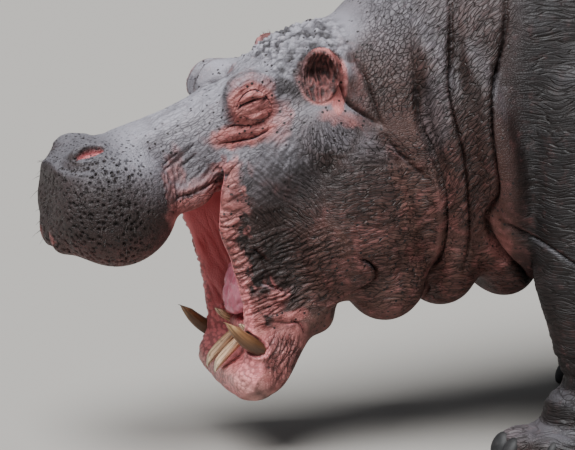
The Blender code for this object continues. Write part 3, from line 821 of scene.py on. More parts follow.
EYE_RIDGES = (
    # the upper lid, the lower lid and the three bags below it: curve, height, width
    (((-0.118, 0.294), (-0.103, 0.308), (-0.085, 0.317), (-0.066, 0.317), (-0.052, 0.314)), 0.0105, 0.0085),
    (((-0.112, 0.277), (-0.092, 0.281), (-0.070, 0.290), (-0.050, 0.299)), 0.0060, 0.0042),
    (((-0.104, 0.262), (-0.080, 0.265), (-0.054, 0.277)), 0.0065, 0.0060),
    (((-0.155, 0.214), (-0.122, 0.223), (-0.085, 0.231), (-0.058, 0.243)), 0.0105, 0.0090),
    (((-0.150, 0.190), (-0.108, 0.197), (-0.072, 0.206), (-0.042, 0.226)), 0.0085, 0.0050),
)
LIP_LINE = (
    (-0.290, 0.040), (-0.262, 0.068), (-0.233, 0.076), (-0.201, 0.093), (-0.165, 0.112), (-0.133, 0.139),
    (-0.104, 0.163),
)
CHEEK_MARGIN = (
    (-0.145, 0.110), (-0.157, 0.044), (-0.152, -0.024), (-0.126, -0.085), (-0.116, -0.134), (-0.104, -0.176),
    (-0.087, -0.212), (-0.067, -0.256), (-0.064, -0.298),
)
ORBIT_EDGE = (  # the groove in front of and over the dome of the eye
    (-0.146, 0.258), (-0.152, 0.284), (-0.153, 0.310), (-0.150, 0.335), (-0.135, 0.357), (-0.106, 0.371),
    (-0.076, 0.375),
)
SMALL_FOLDS = (
    # curve, depth, width, lip
    (((-0.116, 0.2805), (-0.094, 0.285), (-0.072, 0.295), (-0.050, 0.302)), 0.0035, 0.0030, 0.001),
    (((-0.1085, 0.271), (-0.087, 0.273), (-0.062, 0.283), (-0.045, 0.293)), 0.0035, 0.0030, 0.001),
    (((-0.1565, 0.229), (-0.138, 0.240), (-0.097, 0.240), (-0.075, 0.249), (-0.048, 0.256)),
     0.0080, 0.0035, -0.002),
    (((-0.1915, 0.194), (-0.143, 0.202), (-0.1025, 0.209), (-0.078, 0.2155), (-0.054, 0.229),
      (-0.038, 0.243)), 0.0105, 0.0038, 0.0040),
    (ORBIT_EDGE, 0.0150, 0.0045, -0.004),
    (((0.126, 0.451), (0.133, 0.354), (0.145, 0.305), (0.179, 0.276), (0.235, 0.232)),
     0.0120, 0.0050, 0.004),
    (((0.157, 0.427), (0.187, 0.363), (0.216, 0.276), (0.240, 0.227)), 0.0080, 0.0060, 0.003),
    (((0.235, 0.232), (0.262, 0.190), (0.300, 0.150), (0.350, 0.105)), 0.0070, 0.0070, 0.003),
    (((-0.307, 0.142), (-0.285, 0.163), (-0.262, 0.181)), 0.0060, 0.0030, 0.001),
    (((-0.304, 0.130), (-0.270, 0.160), (-0.238, 0.195)), 0.0045, 0.0030, 0.001),
    (((-0.2825, 0.139), (-0.250, 0.172), (-0.2215, 0.207)), 0.0045, 0.0030, 0.001),
    (((-0.268, 0.132), (-0.240, 0.158), (-0.215, 0.180)), 0.0035, 0.0030, 0.001),
    (((0.165, -0.078), (0.190, -0.090), (0.211, -0.104), (0.221, -0.122), (0.215, -0.140), (0.190, -0.157),
      (0.160, -0.171), (0.130, -0.186)), 0.0190, 0.0050, -0.0025),
    (((0.0476, -0.273), (0.033, -0.246), (0.006, -0.227)), 0.0060, 0.0050, 0.003),
    (((-0.116, 0.049), (-0.096, -0.020), (-0.062, -0.085), (-0.036, -0.140), (-0.006, -0.183)),
     0.0026, 0.0090, 0.003),
    (((-0.100, -0.060), (-0.080, -0.062), (-0.058, -0.078), (-0.036, -0.098)), 0.0035, 0.0070, 0.004),
    (((-0.075, -0.140), (-0.050, -0.150), (-0.020, -0.158), (0.012, -0.172)), 0.0040, 0.0065, -0.004),
    (((-0.060, -0.232), (-0.030, -0.236), (0.006, -0.240), (0.040, -0.236)), 0.0038, 0.0060, 0.004),
    (((0.494, 0.007), (0.543, -0.005), (0.5915, -0.029), (0.640, -0.0585), (0.701, -0.0976),
      (0.76, -0.13)), 0.0090, 0.0070, -0.002),
)
NOSTRIL = (-0.481, 0.171)  # middle of the left nostril's slit
NOSTRIL_TURN_DEG = 17


def neck_position(hide):
    """How far each point lies behind the first and the third crease of the neck, in metres."""
    behind = []
    for crease in (NECK_CREASES[0], NECK_CREASES[2]):
        curve = np.array(crease[0])[::-1]
        behind.append(hide.s - np.interp(hide.t, curve[:, 1], curve[:, 0]))
    return behind


def sculpt_folds(hide):
    for curve, depth, width, lip, ends in NECK_CREASES:
        hide.fold(curve, depth, width, lip, ends)
    hide.fold(LIP_LINE, 0.007, 0.0045, 0.003)
    for curve, depth, width, lip in SMALL_FOLDS:
        hide.fold(curve, depth, width, lip)
    hide.press()


def sculpt_eye(hide):
    """A half-closed eye: a dome of skin, a full upper lid over a narrow slit, bags below."""
    hide.rise += 0.009 * hide.blob(-0.086, 0.304, 0.056, 0.055)
    u = (hide.s + 0.084) / 0.060
    v = (hide.t - 0.308) / 0.060
    brow = bell(np.hypot(u, v) - 0.82, 0.24) * step(-0.4, 0.5, v - 0.6 * u)
    hide.rise += 0.0075 * brow * hide.facing
    hide.press()
    hide.fold(LID_FOLD, 0.0075, 0.0030, -0.003)
    hide.fold(BAG_FOLD, 0.0045, 0.0030, -0.001)
    for curve, height, width in EYE_RIDGES:
        hide.ridge(curve, height, width)
    hide.press()
    index, _, distance, _, share = hide.near(EYE_SLIT, 0.03)
    gape = 0.0017 * np.sqrt(np.sin(math.pi * np.clip(share, 0.02, 0.98)))
    opening = step(1.2, 0.7, distance / gape)
    hide.rise[index] -= 0.008 * opening * hide.facing[index]
    edge = bell(distance - 0.0085, 0.0028) * step(0, 0.15, share) * step(1, 0.85, share)
    hide.rise[index] += 0.0022 * edge
    hide.press()


def sculpt_nostril(hide):
    """A slit with a straight lower edge, an arched upper one and a raised rim over it."""
    a = math.radians(NOSTRIL_TURN_DEG)
    u = (hide.s - NOSTRIL[0]) * math.cos(a) + (hide.t - NOSTRIL[1]) * math.sin(a)
    v = (hide.t - NOSTRIL[1]) * math.cos(a) - (hide.s - NOSTRIL[0]) * math.sin(a)
    arch = np.clip(1 - (u / 0.037) ** 2, 0, 1)
    middle = 0.0065 * arch
    half = 0.0105 * arch**0.6 + 0.0005
    shape = np.abs(v - middle) / half
    hide.nostril = step(1.15, 0.75, shape) * (arch > 0) * hide.facing
    ring = np.hypot(u / 0.050, (v - 0.004) / 0.027)
    rim = 0.0070 * bell(ring - 0.75, 0.20) * step(-0.006, 0.010, v)
    rim += 0.0040 * bell(ring - 0.85, 0.25) * step(0.006, -0.010, v)
    rim -= 0.0020 * bell(ring - 1.55, 0.22) * step(-0.33, -0.38, hide.q[:, 1])
    hide.rise += rim * hide.facing - 0.018 * hide.nostril
    hide.press()


def nostril_surround(hide):
    """1 on the nostril and its rim."""
    across = np.hypot((hide.s - NOSTRIL[0]) / 0.060, (hide.t - NOSTRIL[1] - 0.005) / 0.034)
    return step(1.0, 0.7, across) * hide.facing


JAW_DOWN = np.array((0, -0.528, -0.849))
JAW_FRONT = np.array((0, -0.849, 0.528))
CHIN = np.array((0, -0.134, 0.150))


def jaw_place(hide):
    """How far up the lower jaw from the chin each point lies, and how squarely it faces the mouth."""
    up = (hide.p - CHIN) @ -JAW_DOWN
    up[(hide.p[:, 2] > 0.45) | (hide.p[:, 1] < -0.32)] = 9.0
    return up, hide.n @ JAW_FRONT


def lip_trough(hide):
    """1 on the mouth's side of the lower lip, between its rim and the incisors."""
    up, front = jaw_place(hide)
    return step(0.25, 0.6, front) * step(0.26, 0.18, up) * (hide.p[:, 1] < 0.06)


def sculpt_lower_lip(hide):
    """The raised rim of the lower lip round the hollow in front of the incisors."""
    up, front = jaw_place(hide)
    wide = np.abs(hide.p[:, 0])
    inner = step(0.165, 0.080, wide) * step(0.012, 0.070, up) * step(0.142, 0.105, up)
    hide.rise -= 0.027 * lip_trough(hide) * inner
    rim = bell(wide - 0.160, 0.030) * step(0.01, 0.03, up) * step(0.20, 0.12, up)
    rim = np.maximum(rim, bell(up - 0.014, 0.026) * step(0.19, 0.15, wide))
    hide.rise += 0.014 * rim * step(0.0, 0.4, front) * (hide.p[:, 1] < 0.02)
    hide.press()
    up, _ = jaw_place(hide)
    raised = step(0.07, -0.03, up) * (hide.p[:, 1] < 0.06) * (hide.p[:, 2] < 0.35) * 0.013
    set_points(hide.mesh, hide.p - JAW_DOWN * raised[:, None])
    hide.refresh()
    up, _ = jaw_place(hide)
    gum = bell(up - 0.128, 0.014) * step(0.125, 0.10, np.abs(hide.p[:, 0]))
    hide.rise += 0.006 * gum * lip_trough(hide)
    hide.press()
    up, front = jaw_place(hide)
    jaw_front = step(0.24, 0.14, up) * step(-0.4, 0.1, front)
    calm(hide, jaw_front * (hide.p[:, 1] < 0.06) * (hide.p[:, 2] < 0.4), 24)


def sculpt_ears(hide):
    """Deepens the cups and raises the ridges of gristle in them."""
    cup = ear_cup(hide)
    out = step(0.1, 0.6, hide.m[:, 0])
    low = np.linalg.norm((hide.q - np.array(EAR_CENTRE)) / np.array((0.05, 0.030, 0.040)), axis=1)
    hide.rise -= 0.010 * cup * out * step(1.0, 0.3, low)
    ridge = bell(noise(hide.q / np.array((0.05, 0.011, 0.040)), 90), 0.16)
    hide.rise += 0.0030 * cup * ridge * out
    hide.ear_ridge = ridge * cup
    hide.press()


def wrinkle_neck(hide, behind_first, behind_third):
    face = hide.facing
    low = step(0.05, -0.10, hide.t)
    high = step(0.36, 0.48, hide.t)
    on_neck = step(-0.01, 0.01, behind_first) * face
    on_neck = on_neck * step(0.005 + 0.12 * high, -0.005 - 0.06 * high, behind_third)
    wrinkles(hide, on_neck * (1 - low), 47, 0.0120, 0.090, 0.0030, 1)
    wrinkles(hide, on_neck * (1 - low), 128, 0.022, 0.060, 0.0014, 2, leads=False)
    wrinkles(hide, on_neck * low, 6, 0.0110, 0.100, 0.0026, 3)
    above_cheek = step(0.02, -0.005, behind_first) * step(0.13, 0.22, hide.s) * step(0.05, 0.16, hide.t)
    above_cheek = above_cheek * face
    wrinkles(hide, above_cheek * step(0.22, 0.30, hide.t), 52, 0.012, 0.045, 0.0024, 4)
    wrinkles(hide, above_cheek * step(0.26, 0.18, hide.t), -14, 0.0115, 0.060, 0.0036, 5)


def cheek_edge(hide):
    """1 along the edge of the cheek, where it is stretched between the jaws."""
    return np.minimum(hide.blob(-0.130, -0.02, 0.040, 0.14, 8) + hide.blob(-0.060, -0.16, 0.06, 0.09, 10), 1)


def wrinkle_cheek(hide, behind_first):
    cheek = step(-0.005, -0.02, behind_first) * step(-0.16, -0.06, hide.s) * step(-0.24, -0.18, hide.t)
    cheek = cheek * step(0.24, 0.14, hide.t) * hide.facing
    jaw = cheek * step(0.20, 0.10, hide.s) * step(0.04, -0.06, hide.t)
    plain_cheek = cheek * (1 - 0.9 * jaw) * (1 - 0.9 * cheek_edge(hide))
    front_cheek = plain_cheek * step(0.14, 0.04, hide.s)
    wrinkles(hide, plain_cheek - front_cheek, 6, 0.0105, 0.100, 0.0024, 1)
    wrinkles(hide, front_cheek, -38, 0.0105, 0.090, 0.0026, 23)
    wrinkles(hide, plain_cheek, 88, 0.0170, 0.045, 0.0012, 21, leads=False)
    wrinkles(hide, jaw, 22, 0.0115, 0.075, 0.0042, 6)
    wrinkles(hide, jaw, 100, 0.022, 0.050, 0.0014, 7, leads=False)


def wrinkle_face(hide):
    """Creases round the eye, on the snout and the corner of the lips, and the pits of the muzzle."""
    q = hide.q
    under_eye = step(-0.15, -0.03, hide.s) * step(0.24, 0.12, hide.s) * step(0.08, 0.14, hide.t)
    under_eye = under_eye * step(0.30, 0.20, hide.t) * hide.facing
    fan(hide, under_eye, 0.07, 0.31, 56, 0.06, 0.0034, 8)
    orbit = hide.blob(-0.083, 0.300, 0.075, 0.075) * (1 - hide.blob(-0.083, 0.292, 0.042, 0.036))
    fan(hide, orbit, -0.083, 0.292, 44, 0.06, 0.0016, 9)
    muzzle = step(-0.33, -0.45, q[:, 1]) * (q[:, 2] > 0.44)
    plain = step(0.02, -0.06, q[:, 1]) * step(0.57, 0.63, q[:, 2]) * (1 - muzzle)
    wrinkles(hide, plain * hide.facing, 33, 0.0100, 0.060, 0.0016, 10)
    lobe_rear = hide.blob(-0.272, 0.115, 0.035, 0.075)
    wrinkles(hide, lobe_rear, 86, 0.0090, 0.040, 0.0036, 11)
    lip_folds = hide.blob(0.010, -0.340, 0.060, 0.085, 35)
    wrinkles(hide, lip_folds, 72, 0.0110, 0.045, 0.0034, 16)
    pitted = muzzle * step(0.80, 0.72, q[:, 2]) * step(-0.34, -0.42, q[:, 1])
    pits(hide, pitted, 0.0118, 0.0062, 2)


def wrinkle_mouth(hide):
    """Folds of the mouth's lining, which stays free of painted crease shade, and the cobbled lower lip."""
    q = hide.q
    lining = inside_mouth(hide)
    index = np.flatnonzero(lining > MASK_FLOOR)
    at = np.stack([q[:, 0] / 0.04, (q[:, 1] + 0.5 * q[:, 2]) / 0.026, q[:, 2] / 0.09], 1)[index]
    carve(hide, index, at, lining[index] * step(0.62, 0.42, q[index, 2]), 0.0030, 19, 0.2, False)
    hide.line[index] *= 1 - 0.9 * lining[index]
    up, front = jaw_place(hide)
    lip = step(0.1, 0.5, front) * step(0.26, 0.20, up) * (hide.p[:, 1] < 0.06) * (hide.p[:, 2] < 0.45)
    pebbles(hide, lip, 0.0105, 0.0024, 22)


def occiput_mask(q):
    """1 on the back of the head, between and behind the ears."""
    return step(-0.12, -0.07, q[:, 1]) * step(0.13, 0.07, q[:, 1]) * step(0.90, 0.95, q[:, 2])


def wrinkle_lip_corner(hide):
    edge = cheek_edge(hide)
    wrinkles(hide, edge, 18, 0.0135, 0.060, 0.0046, 12)
    wrinkles(hide, edge, -35, 0.0190, 0.040, 0.0014, 17, leads=False)
    lip_root = hide.blob(-0.210, 0.108, 0.060, 0.034, 30)
    wrinkles(hide, lip_root, 58, 0.0110, 0.040, 0.0042, 18)


def wrinkle_body(hide, behind_third):
    y = hide.q[:, 1]
    body = step(0.0, 0.02, behind_third) * step(0.42, 0.52, y)
    flank = np.maximum(step(0.85, 0.5, np.abs(hide.n[:, 2])), 0.6 * step(1.5, 0.8, y))
    level_wrinkles(hide, body * flank * step(1.15, 0.95, y), 0.0125, 0.20, 0.0015, 13, 0.22)
    level_wrinkles(hide, body * flank * step(0.95, 1.15, y), 0.034, 0.20, 0.0021, 14, 0.22, leads=False)
    feet = step(0.5, 0.6, y) * step(0.34, 0.20, hide.q[:, 2])
    level_wrinkles(hide, feet, 0.022, 0.07, 0.0050, 20)
    level_wrinkles(hide, body * flank, 0.070, 0.30, 0.0030, 15, leads=False)


def sculpt_wrinkles(hide):
    """Creases of the skin, each kind where it lies on the animal."""
    behind_first, behind_third = neck_position(hide)
    wrinkle_neck(hide, behind_first, behind_third)
    wrinkle_cheek(hide, behind_first)
    wrinkle_face(hide)
    wrinkle_mouth(hide)
    pebbles(hide, occiput_mask(hide.q) * step(0.20, 0.15, hide.q[:, 0]), 0.0165, 0.0170, 3)
    wrinkle_lip_corner(hide)
    wrinkle_body(hide, behind_third)
    hide.press()


# Patches of colour on the side plane: s, t, half length, half height, turn in degrees, strength.
PINK_PATCHES = (
    (-0.086, 0.290, 0.060, 0.060, 0, 1.0),  # round the eye
    (-0.086, 0.335, 0.058, 0.040, 0, 0.45),
    (-0.104, 0.222, 0.085, 0.030, 12, 0.95),  # the bags below it
    (-0.030, 0.255, 0.045, 0.060, 0, 0.45),
    (0.168, 0.335, 0.030, 0.115, 12, 0.14),  # behind and below the ear
    (0.128, 0.262, 0.060, 0.020, -12, 0.4),
    (0.125, 0.305, 0.018, 0.034, -20, 0.9),
    (-0.580, -0.038, 0.016, 0.012, 0, 0.8),  # the tip of the upper lip
    (-0.272, 0.110, 0.028, 0.085, 0, 0.38),  # behind the muzzle's lobe
    (-0.205, 0.100, 0.060, 0.030, 30, 0.45),
    (0.213, -0.032, 0.045, 0.040, 0, 0.28),  # the cheek above the jowl
    (0.520, -0.060, 0.030, 0.050, 0, 0.5),  # the brisket before the foreleg
)
# Patches of painted highlight on lit faces of the head and neck.
PAINTED_SHEEN_PATCHES = (
    (0.085, 0.235, 0.085, 0.050, -20, 0.36),  # the top of the cheek
    (-0.090, 0.345, 0.055, 0.026, 0, 0.85),  # the dome of the eye
    (0.360, 0.285, 0.035, 0.110, 0, 0.19),  # the first roll of the neck
)


def strongest(hide, patches):
    return np.maximum.reduce([strength * hide.blob(*place) for *place, strength in patches])


def along(hide, curve, reach, value):
    """A mask near a curve: value(distance, share) within reach of it, and 0 elsewhere.

    The distance is below 0 on the right of the curve.
    """
    mask = np.zeros(len(hide.p))
    index, _, distance, side, share = hide.near(curve, reach)
    mask[index] = value(distance * side, share)
    return mask


def inner_part(share):
    """1 but at the two ends of a curve."""
    return step(0, 0.1, share) * step(1, 0.9, share)


def waver(hide):
    """Shifts the points' places on the side plane by noise, less at the eye, until the next refresh.

    It keeps the edges between colours from being smooth curves.
    """
    steady = 1 - 0.6 * hide.blob(-0.090, 0.280, 0.080, 0.090)
    hide.s = hide.s + steady * (0.022 * noise(hide.q / 0.05, 62) + 0.010 * noise(hide.q / 0.017, 63))
    hide.t = hide.t + steady * (0.022 * noise(hide.q / 0.05, 64) + 0.010 * noise(hide.q / 0.017, 65))


def body_regions(hide):
    """The parts of the body that the colours refer to, each a mask from 0 to 1."""
    at = SimpleNamespace()
    p, q = hide.p, hide.q
    behind_first, at.behind_third = neck_position(hide)
    at.blotch = noise(p / 0.035, 60)
    at.fine = noise(p / 0.012, 61)
    at.slit = along(hide, EYE_SLIT, 0.02, lambda off, share: step(0.0042, 0.0016, abs(off)))
    at.slit *= along(hide, EYE_SLIT, 0.02, lambda off, share: inner_part(share))
    at.orbit_edge = along(hide, ORBIT_EDGE, 0.03, lambda off, share: bell(off, 0.0055))
    waver(hide)
    at.below_lip = along(hide, LIP_LINE, 0.12, lambda off, share: step(0.002, -0.006, off))
    at.below_lip *= step(-0.30, -0.27, hide.s) * step(-0.10, -0.13, hide.s)
    at.cheek_edge = along(hide, CHEEK_MARGIN, 0.12, lambda off, share: step(0.085, 0.030, abs(off)))
    at.cheek_rim = along(
        hide, CHEEK_MARGIN, 0.12, lambda off, share: step(0.034, 0.014, abs(off)) * step(0.0, 0.1, share)
    )
    at.up, front = jaw_place(hide)
    at.lip_front = step(0.0, 0.35, front) * step(0.30, 0.24, at.up) * (p[:, 1] < 0.08) * (p[:, 2] < 0.5)
    at.mouth = inside_mouth(hide)
    at.muzzle = step(-0.31, -0.50, q[:, 1]) * step(0.86, 0.75, q[:, 2]) * (q[:, 2] > 0.44)
    at.under = step(0.0, -0.8, hide.n[:, 2])
    reach = step(0.6, 0.5, hide.s)
    rolls = step(-0.02, 0.0, behind_first + 0.1) * reach * step(0.36, -0.04, hide.t)
    rolls = np.maximum(rolls, step(-0.02, 0.12, hide.s) * reach * step(0.12, -0.06, hide.t))
    at.ruddy = rolls * step(-0.42, -0.34, hide.t) * hide.facing
    at.occiput = occiput_mask(q)
    return at


def pink_mask(hide, at):
    chin = step(0.045, -0.01, at.up) * (hide.p[:, 1] < 0.1) * (hide.p[:, 2] < 0.30)
    lip_side = hide.blob(-0.020, -0.335, 0.105, 0.105, 35)
    margin = hide.blob(-0.040, -0.188, 0.040, 0.028, 10) + hide.blob(0.010, -0.228, 0.050, 0.018, 8)
    ear_front = step(-0.055, -0.015, hide.q[:, 1] - EAR_CENTRE[1])
    return np.maximum.reduce([
        strongest(hide, PINK_PATCHES),
        0.7 * at.below_lip,
        at.lip_front,
        0.75 * chin,
        0.8 * lip_side * (0.78 + 0.5 * at.blotch),
        at.mouth,
        0.75 * margin,
        0.85 * at.cheek_rim,
        0.7 * at.cheek_edge * step(0.0, 0.16, at.blotch + 0.4 * at.fine),
        0.95 * hide.nostril,
        0.24 * at.under * step(0.1, 0.35, hide.q[:, 2]),
        0.34 * at.ruddy * step(-0.10, 0.25, at.blotch),
        0.95 * ear_share(hide) * (0.45 + 0.55 * ear_front),
    ])


# Dark on the muzzle, the back of the head, the cheek's edge and before the ears; painted shade in the eye's
# slit, round the eye and in the ears' hollows.
def dark_skin_and_shade_mask(hide, at, pink):
    edge = at.cheek_edge * (1 - 0.85 * at.cheek_rim) * step(0.05, -0.12, at.blotch + 0.4 * at.fine)
    speckled = step(-0.02, 0.10, -0.33 - hide.s + 0.35 * (0.10 - hide.t))
    # The muzzle's dark skin, thinned towards its bottom as painted light on the shaded underside.
    muzzle = (0.15 + 0.58 * speckled) * (1 - 0.7 * step(0.02, -0.10, hide.t)) * at.muzzle * (1 - at.mouth)
    coloured = np.maximum.reduce([
        0.28 * edge * (1 - at.below_lip),
        muzzle,
        0.8 * at.occiput * step(-0.02, 0.16, at.blotch),
    ])
    # painted shade in the ears' hollows, lighter on their ridges
    cup = ear_cup(hide) * np.clip(1.02 - 0.42 * hide.ear_ridge + 0.5 * at.fine, 0, 1)
    before_ear = hide.blob(0.012, 0.372, 0.034, 0.085, -20)
    return np.maximum.reduce([
        coloured * (1 - 0.55 * hide.nostril),
        # painted shade in the eye's slit and in the groove round the eye
        at.slit,
        0.55 * at.orbit_edge,
        0.48 * hide.blob(0.045, 0.108, 0.085, 0.045) * (1 - pink),
        cup,
        0.85 * before_ear * step(-0.25, 0.0, at.blotch),
    ])


def painted_sheen_mask(hide, at):
    """Where a pale highlight is painted: on top of the head and back, and on the upper faces of the feet."""
    y, z, up = hide.q[:, 1], hide.q[:, 2], hide.n[:, 2]
    tops = step(0.20, 0.90, up) * np.interp(y, (0.05, 0.20, 0.45, 0.60), (1.0, 0.55, 0.40, 0.22))
    upper_snout = step(0.02, -0.10, y) * step(0.60, 0.74, z) * (1 - 0.8 * at.muzzle)
    painted_sheen = np.maximum.reduce([
        tops * step(0.3, 0.5, z),
        0.68 * upper_snout,
        strongest(hide, PAINTED_SHEEN_PATCHES),
        0.20 * step(0.3, 0.9, up) * step(0.25, 0.15, z),
    ])
    painted_sheen *= 1 - 0.85 * hide.blob(0.205, 0.330, 0.050, 0.120, 10)
    return np.maximum(painted_sheen, 0.9 * at.occiput * step(0.1, -0.1, at.blotch))


def tint_masks(hide):
    """Where the skin is pink, dark or in painted shade, under painted highlight, freckled, wet and so on,
    each from 0 to 1.
    """
    at = body_regions(hide)
    y, z = hide.q[:, 1], hide.q[:, 2]
    pink = pink_mask(hide, at)
    masks = {
        "pink": pink,
        # dark skin, and painted shade in the eye's slit, the groove round the eye and the ears' hollows
        "dark_skin_and_shade": dark_skin_and_shade_mask(hide, at, pink),
        # painted highlight on the upward and lit faces
        "painted_sheen": painted_sheen_mask(hide, at),
        "freckle": step(1.1, 0.7, y) * step(0.15, 0.3, z) * (1 - at.mouth) * (1 - at.lip_front),
        "wet": np.maximum.reduce([at.mouth, at.lip_front, at.slit]),
        # where a painted highlight lies along the lower lip's rim
        "rim": bell(at.up - 0.012, 0.026) * (z < 0.4) * (hide.p[:, 1] < 0),
        "inner": np.maximum(at.mouth, hide.nostril),
        "warm": np.maximum(step(0.10, -0.06, at.behind_third) * step(0.65, 0.40, y), 0.5 * at.under),
        "ruddy": at.ruddy,
        "pitted": at.muzzle * (1 - at.mouth) * (1 - hide.nostril),
    }
    hide.refresh()
    return masks


def depth_in(points, centre, radii, tilt_deg):
    """0 in the middle of the ellipsoid and 1 on its surface, and so on outwards."""
    local = (points - np.array(centre)) @ np.array(turned(tilt_deg))
    return np.linalg.norm(local / np.array(radii), axis=1)


def inside_mouth(hide):
    """1 on the skin that lines the mouth."""
    q = hide.q
    grown = zip(MOUTH_HOLLOWS, (1.12, 1.15, 1.15))
    hollows = [step(size, 1, depth_in(hide.p, *hollow)) for hollow, size in grown]
    cheek = step(0.1, -0.3, hide.m[:, 0]) * step(0.178, 0.165, q[:, 0]) * step(-0.30, -0.27, q[:, 1])
    cheek *= step(0.12, 0.10, q[:, 1]) * step(0.24, 0.27, q[:, 2]) * step(0.76, 0.72, q[:, 2])
    return np.maximum.reduce([*hollows, cheek])


def ear_share(hide):
    """1 on the ears, in their cups and on their rims."""
    reach = np.linalg.norm((hide.q - np.array(EAR_CENTRE)) / np.array((0.06, 0.062, 0.075)), axis=1)
    return step(1.15, 0.9, reach)


def ear_cup(hide):
    """1 on the inside of the ears."""
    local = (hide.q - np.array(EAR_CENTRE)) @ np.array(turned(EAR_TURN_DEG))
    return step(1.25, 1.12, depth_in(local, *EAR_HOLLOW, (0, 0, 0)))


def painted(mesh, masks):
    """Stores each mask, a number or a vector to each point, on the mesh's points under its name."""
    for name, values in masks.items():
        values = np.asarray(values, np.float32)
        kind, field = ("FLOAT", "value") if values.ndim == 1 else ("FLOAT_VECTOR", "vector")
        layer = mesh.attributes.new(name, kind, "POINT")
        layer.data.foreach_set(field, values.ravel())


# ---------------------------------------------------------------- materials


class Graph:
    """A material under construction."""

    def __init__(self, name):
        self.made = bpy.data.materials.new(name)
        self.made.use_nodes = True
        self.nodes = self.made.node_tree.nodes
        self.links = self.made.node_tree.links
        self.shader = self.nodes["Principled BSDF"]

    def feed(self, socket, value):
        if isinstance(value, bpy.types.NodeSocket):
            self.links.new(value, socket)
        else:
            socket.default_value = value

    def attribute(self, name):
        node = self.nodes.new("ShaderNodeAttribute")
        node.attribute_name = name
        return node.outputs["Fac"]

    def flow(self, scale):
        """The place in the pattern of the creases."""
        node = self.nodes.new("ShaderNodeAttribute")
        node.attribute_name = "flow"
        size = self.nodes.new("ShaderNodeMapping")
        size.inputs["Scale"].default_value = scale
        self.links.new(node.outputs["Vector"], size.inputs["Vector"])
        return size.outputs[0]

    def math(self, operation, a, b):
        node = self.nodes.new("ShaderNodeMath")
        node.operation = operation
        self.feed(node.inputs[0], a)
        self.feed(node.inputs[1], b)
        return node.outputs[0]

    def times(self, a, b):
        return self.math("MULTIPLY", a, b)

    def minus(self, a, b):
        return self.math("SUBTRACT", a, b)

    def larger(self, a, b):
        return self.math("MAXIMUM", a, b)

    def mix(self, share, a, b):
        """The first colour where share is 0 and the second where it is 1; either may be three numbers."""
        node = self.nodes.new("ShaderNodeMix")
        node.data_type = "RGBA"
        for socket, value in ((0, share), (6, a), (7, b)):
            self.feed(node.inputs[socket], (*value, 1) if isinstance(value, tuple) else value)
        return node.outputs[2]

    def ramp(self, value, low, high, first=0.0, last=1.0):
        node = self.nodes.new("ShaderNodeMapRange")
        node.interpolation_type = "SMOOTHSTEP"
        self.feed(node.inputs["Value"], value)
        for name, number in (("From Min", low), ("From Max", high), ("To Min", first), ("To Max", last)):
            node.inputs[name].default_value = number
        return node.outputs["Result"]

    def place(self):
        return self.nodes.new("ShaderNodeTexCoord").outputs["Object"]

    def noise(self, where, scale, detail=2.0):
        node = self.nodes.new("ShaderNodeTexNoise")
        node.inputs["Scale"].default_value = scale
        node.inputs["Detail"].default_value = detail
        self.links.new(where, node.inputs["Vector"])
        return node.outputs["Fac"]

    def cells(self, where, scale, feature="F1"):
        node = self.nodes.new("ShaderNodeTexVoronoi")
        node.feature = feature
        node.inputs["Scale"].default_value = scale
        self.links.new(where, node.inputs["Vector"])
        return node.outputs["Distance"]

    def bump(self, height, strength, distance):
        node = self.nodes.new("ShaderNodeBump")
        node.inputs["Strength"].default_value = strength
        node.inputs["Distance"].default_value = distance
        self.feed(node.inputs["Height"], height)
        self.links.new(node.outputs[0], self.shader.inputs["Normal"])

    def paint(self, colour):
        self.links.new(colour, self.shader.inputs["Base Color"])


# The colour of the painted shade in creases and pits.
CREASE_SHADE = (0.008, 0.005, 0.004)


def hide_colour(g, here):
    """Grey with painted highlight on top, dark or warm where shaded, pink round the openings, with spots and
    painted shade in creases.
    """
    broad = g.noise(here, 7, 4)
    middle = g.noise(here, 45, 3)
    patchy = g.ramp(broad, 0.35, 0.65)
    grey = g.mix(patchy, (0.0068, 0.0056, 0.0060), (0.0138, 0.0113, 0.0121))
    warm = g.mix(patchy, (0.036, 0.019, 0.016), (0.074, 0.040, 0.035))
    grey = g.mix(g.attribute("warm"), grey, warm)
    ruddy = g.mix(patchy, (0.100, 0.041, 0.032), (0.175, 0.086, 0.069))
    grey = g.mix(g.attribute("ruddy"), grey, ruddy)
    grey = g.mix(g.ramp(middle, 0.3, 0.7, 0, 0.5), grey, (0.015, 0.010, 0.010))
    # painted highlight, pale blue-grey, on the upward and lit faces
    grey = g.mix(g.times(g.attribute("painted_sheen"), 0.95), grey, (0.30, 0.288, 0.325))
    rosy = g.mix(g.ramp(middle, 0.3, 0.7), (0.34, 0.095, 0.088), (0.54, 0.205, 0.190))
    rosy = g.mix(g.times(g.attribute("wet"), 0.8), rosy, (0.80, 0.25, 0.26))
    inner = g.mix(g.ramp(broad, 0.3, 0.7), (0.50, 0.095, 0.100), (0.68, 0.200, 0.210))
    rosy = g.mix(g.attribute("inner"), rosy, inner)
    # painted highlight along the rim of the lower lip
    rosy = g.mix(g.times(g.attribute("rim"), 0.45), rosy, (0.62, 0.38, 0.33))
    uneven = g.math("ADD", g.attribute("pink"), g.times(g.minus(middle, 0.5), 0.6))
    colour = g.mix(g.ramp(uneven, 0.0, 1.0), grey, rosy)
    # dark skin, and painted shade in the eye's slit, the groove round the eye and the ears' hollows
    colour = g.mix(g.times(g.attribute("dark_skin_and_shade"), 0.93), colour, (0.014, 0.010, 0.010))
    spot = g.ramp(g.cells(here, 58), 0.25, 0.14)
    some = g.ramp(g.noise(here, 9, 2), 0.36, 0.50)
    spots = g.times(g.times(spot, some), g.attribute("freckle"))
    colour = g.mix(spots, colour, (0.018, 0.013, 0.013))
    # painted shade in the creases
    return g.mix(g.times(g.attribute("line"), 0.58), colour, CREASE_SHADE)


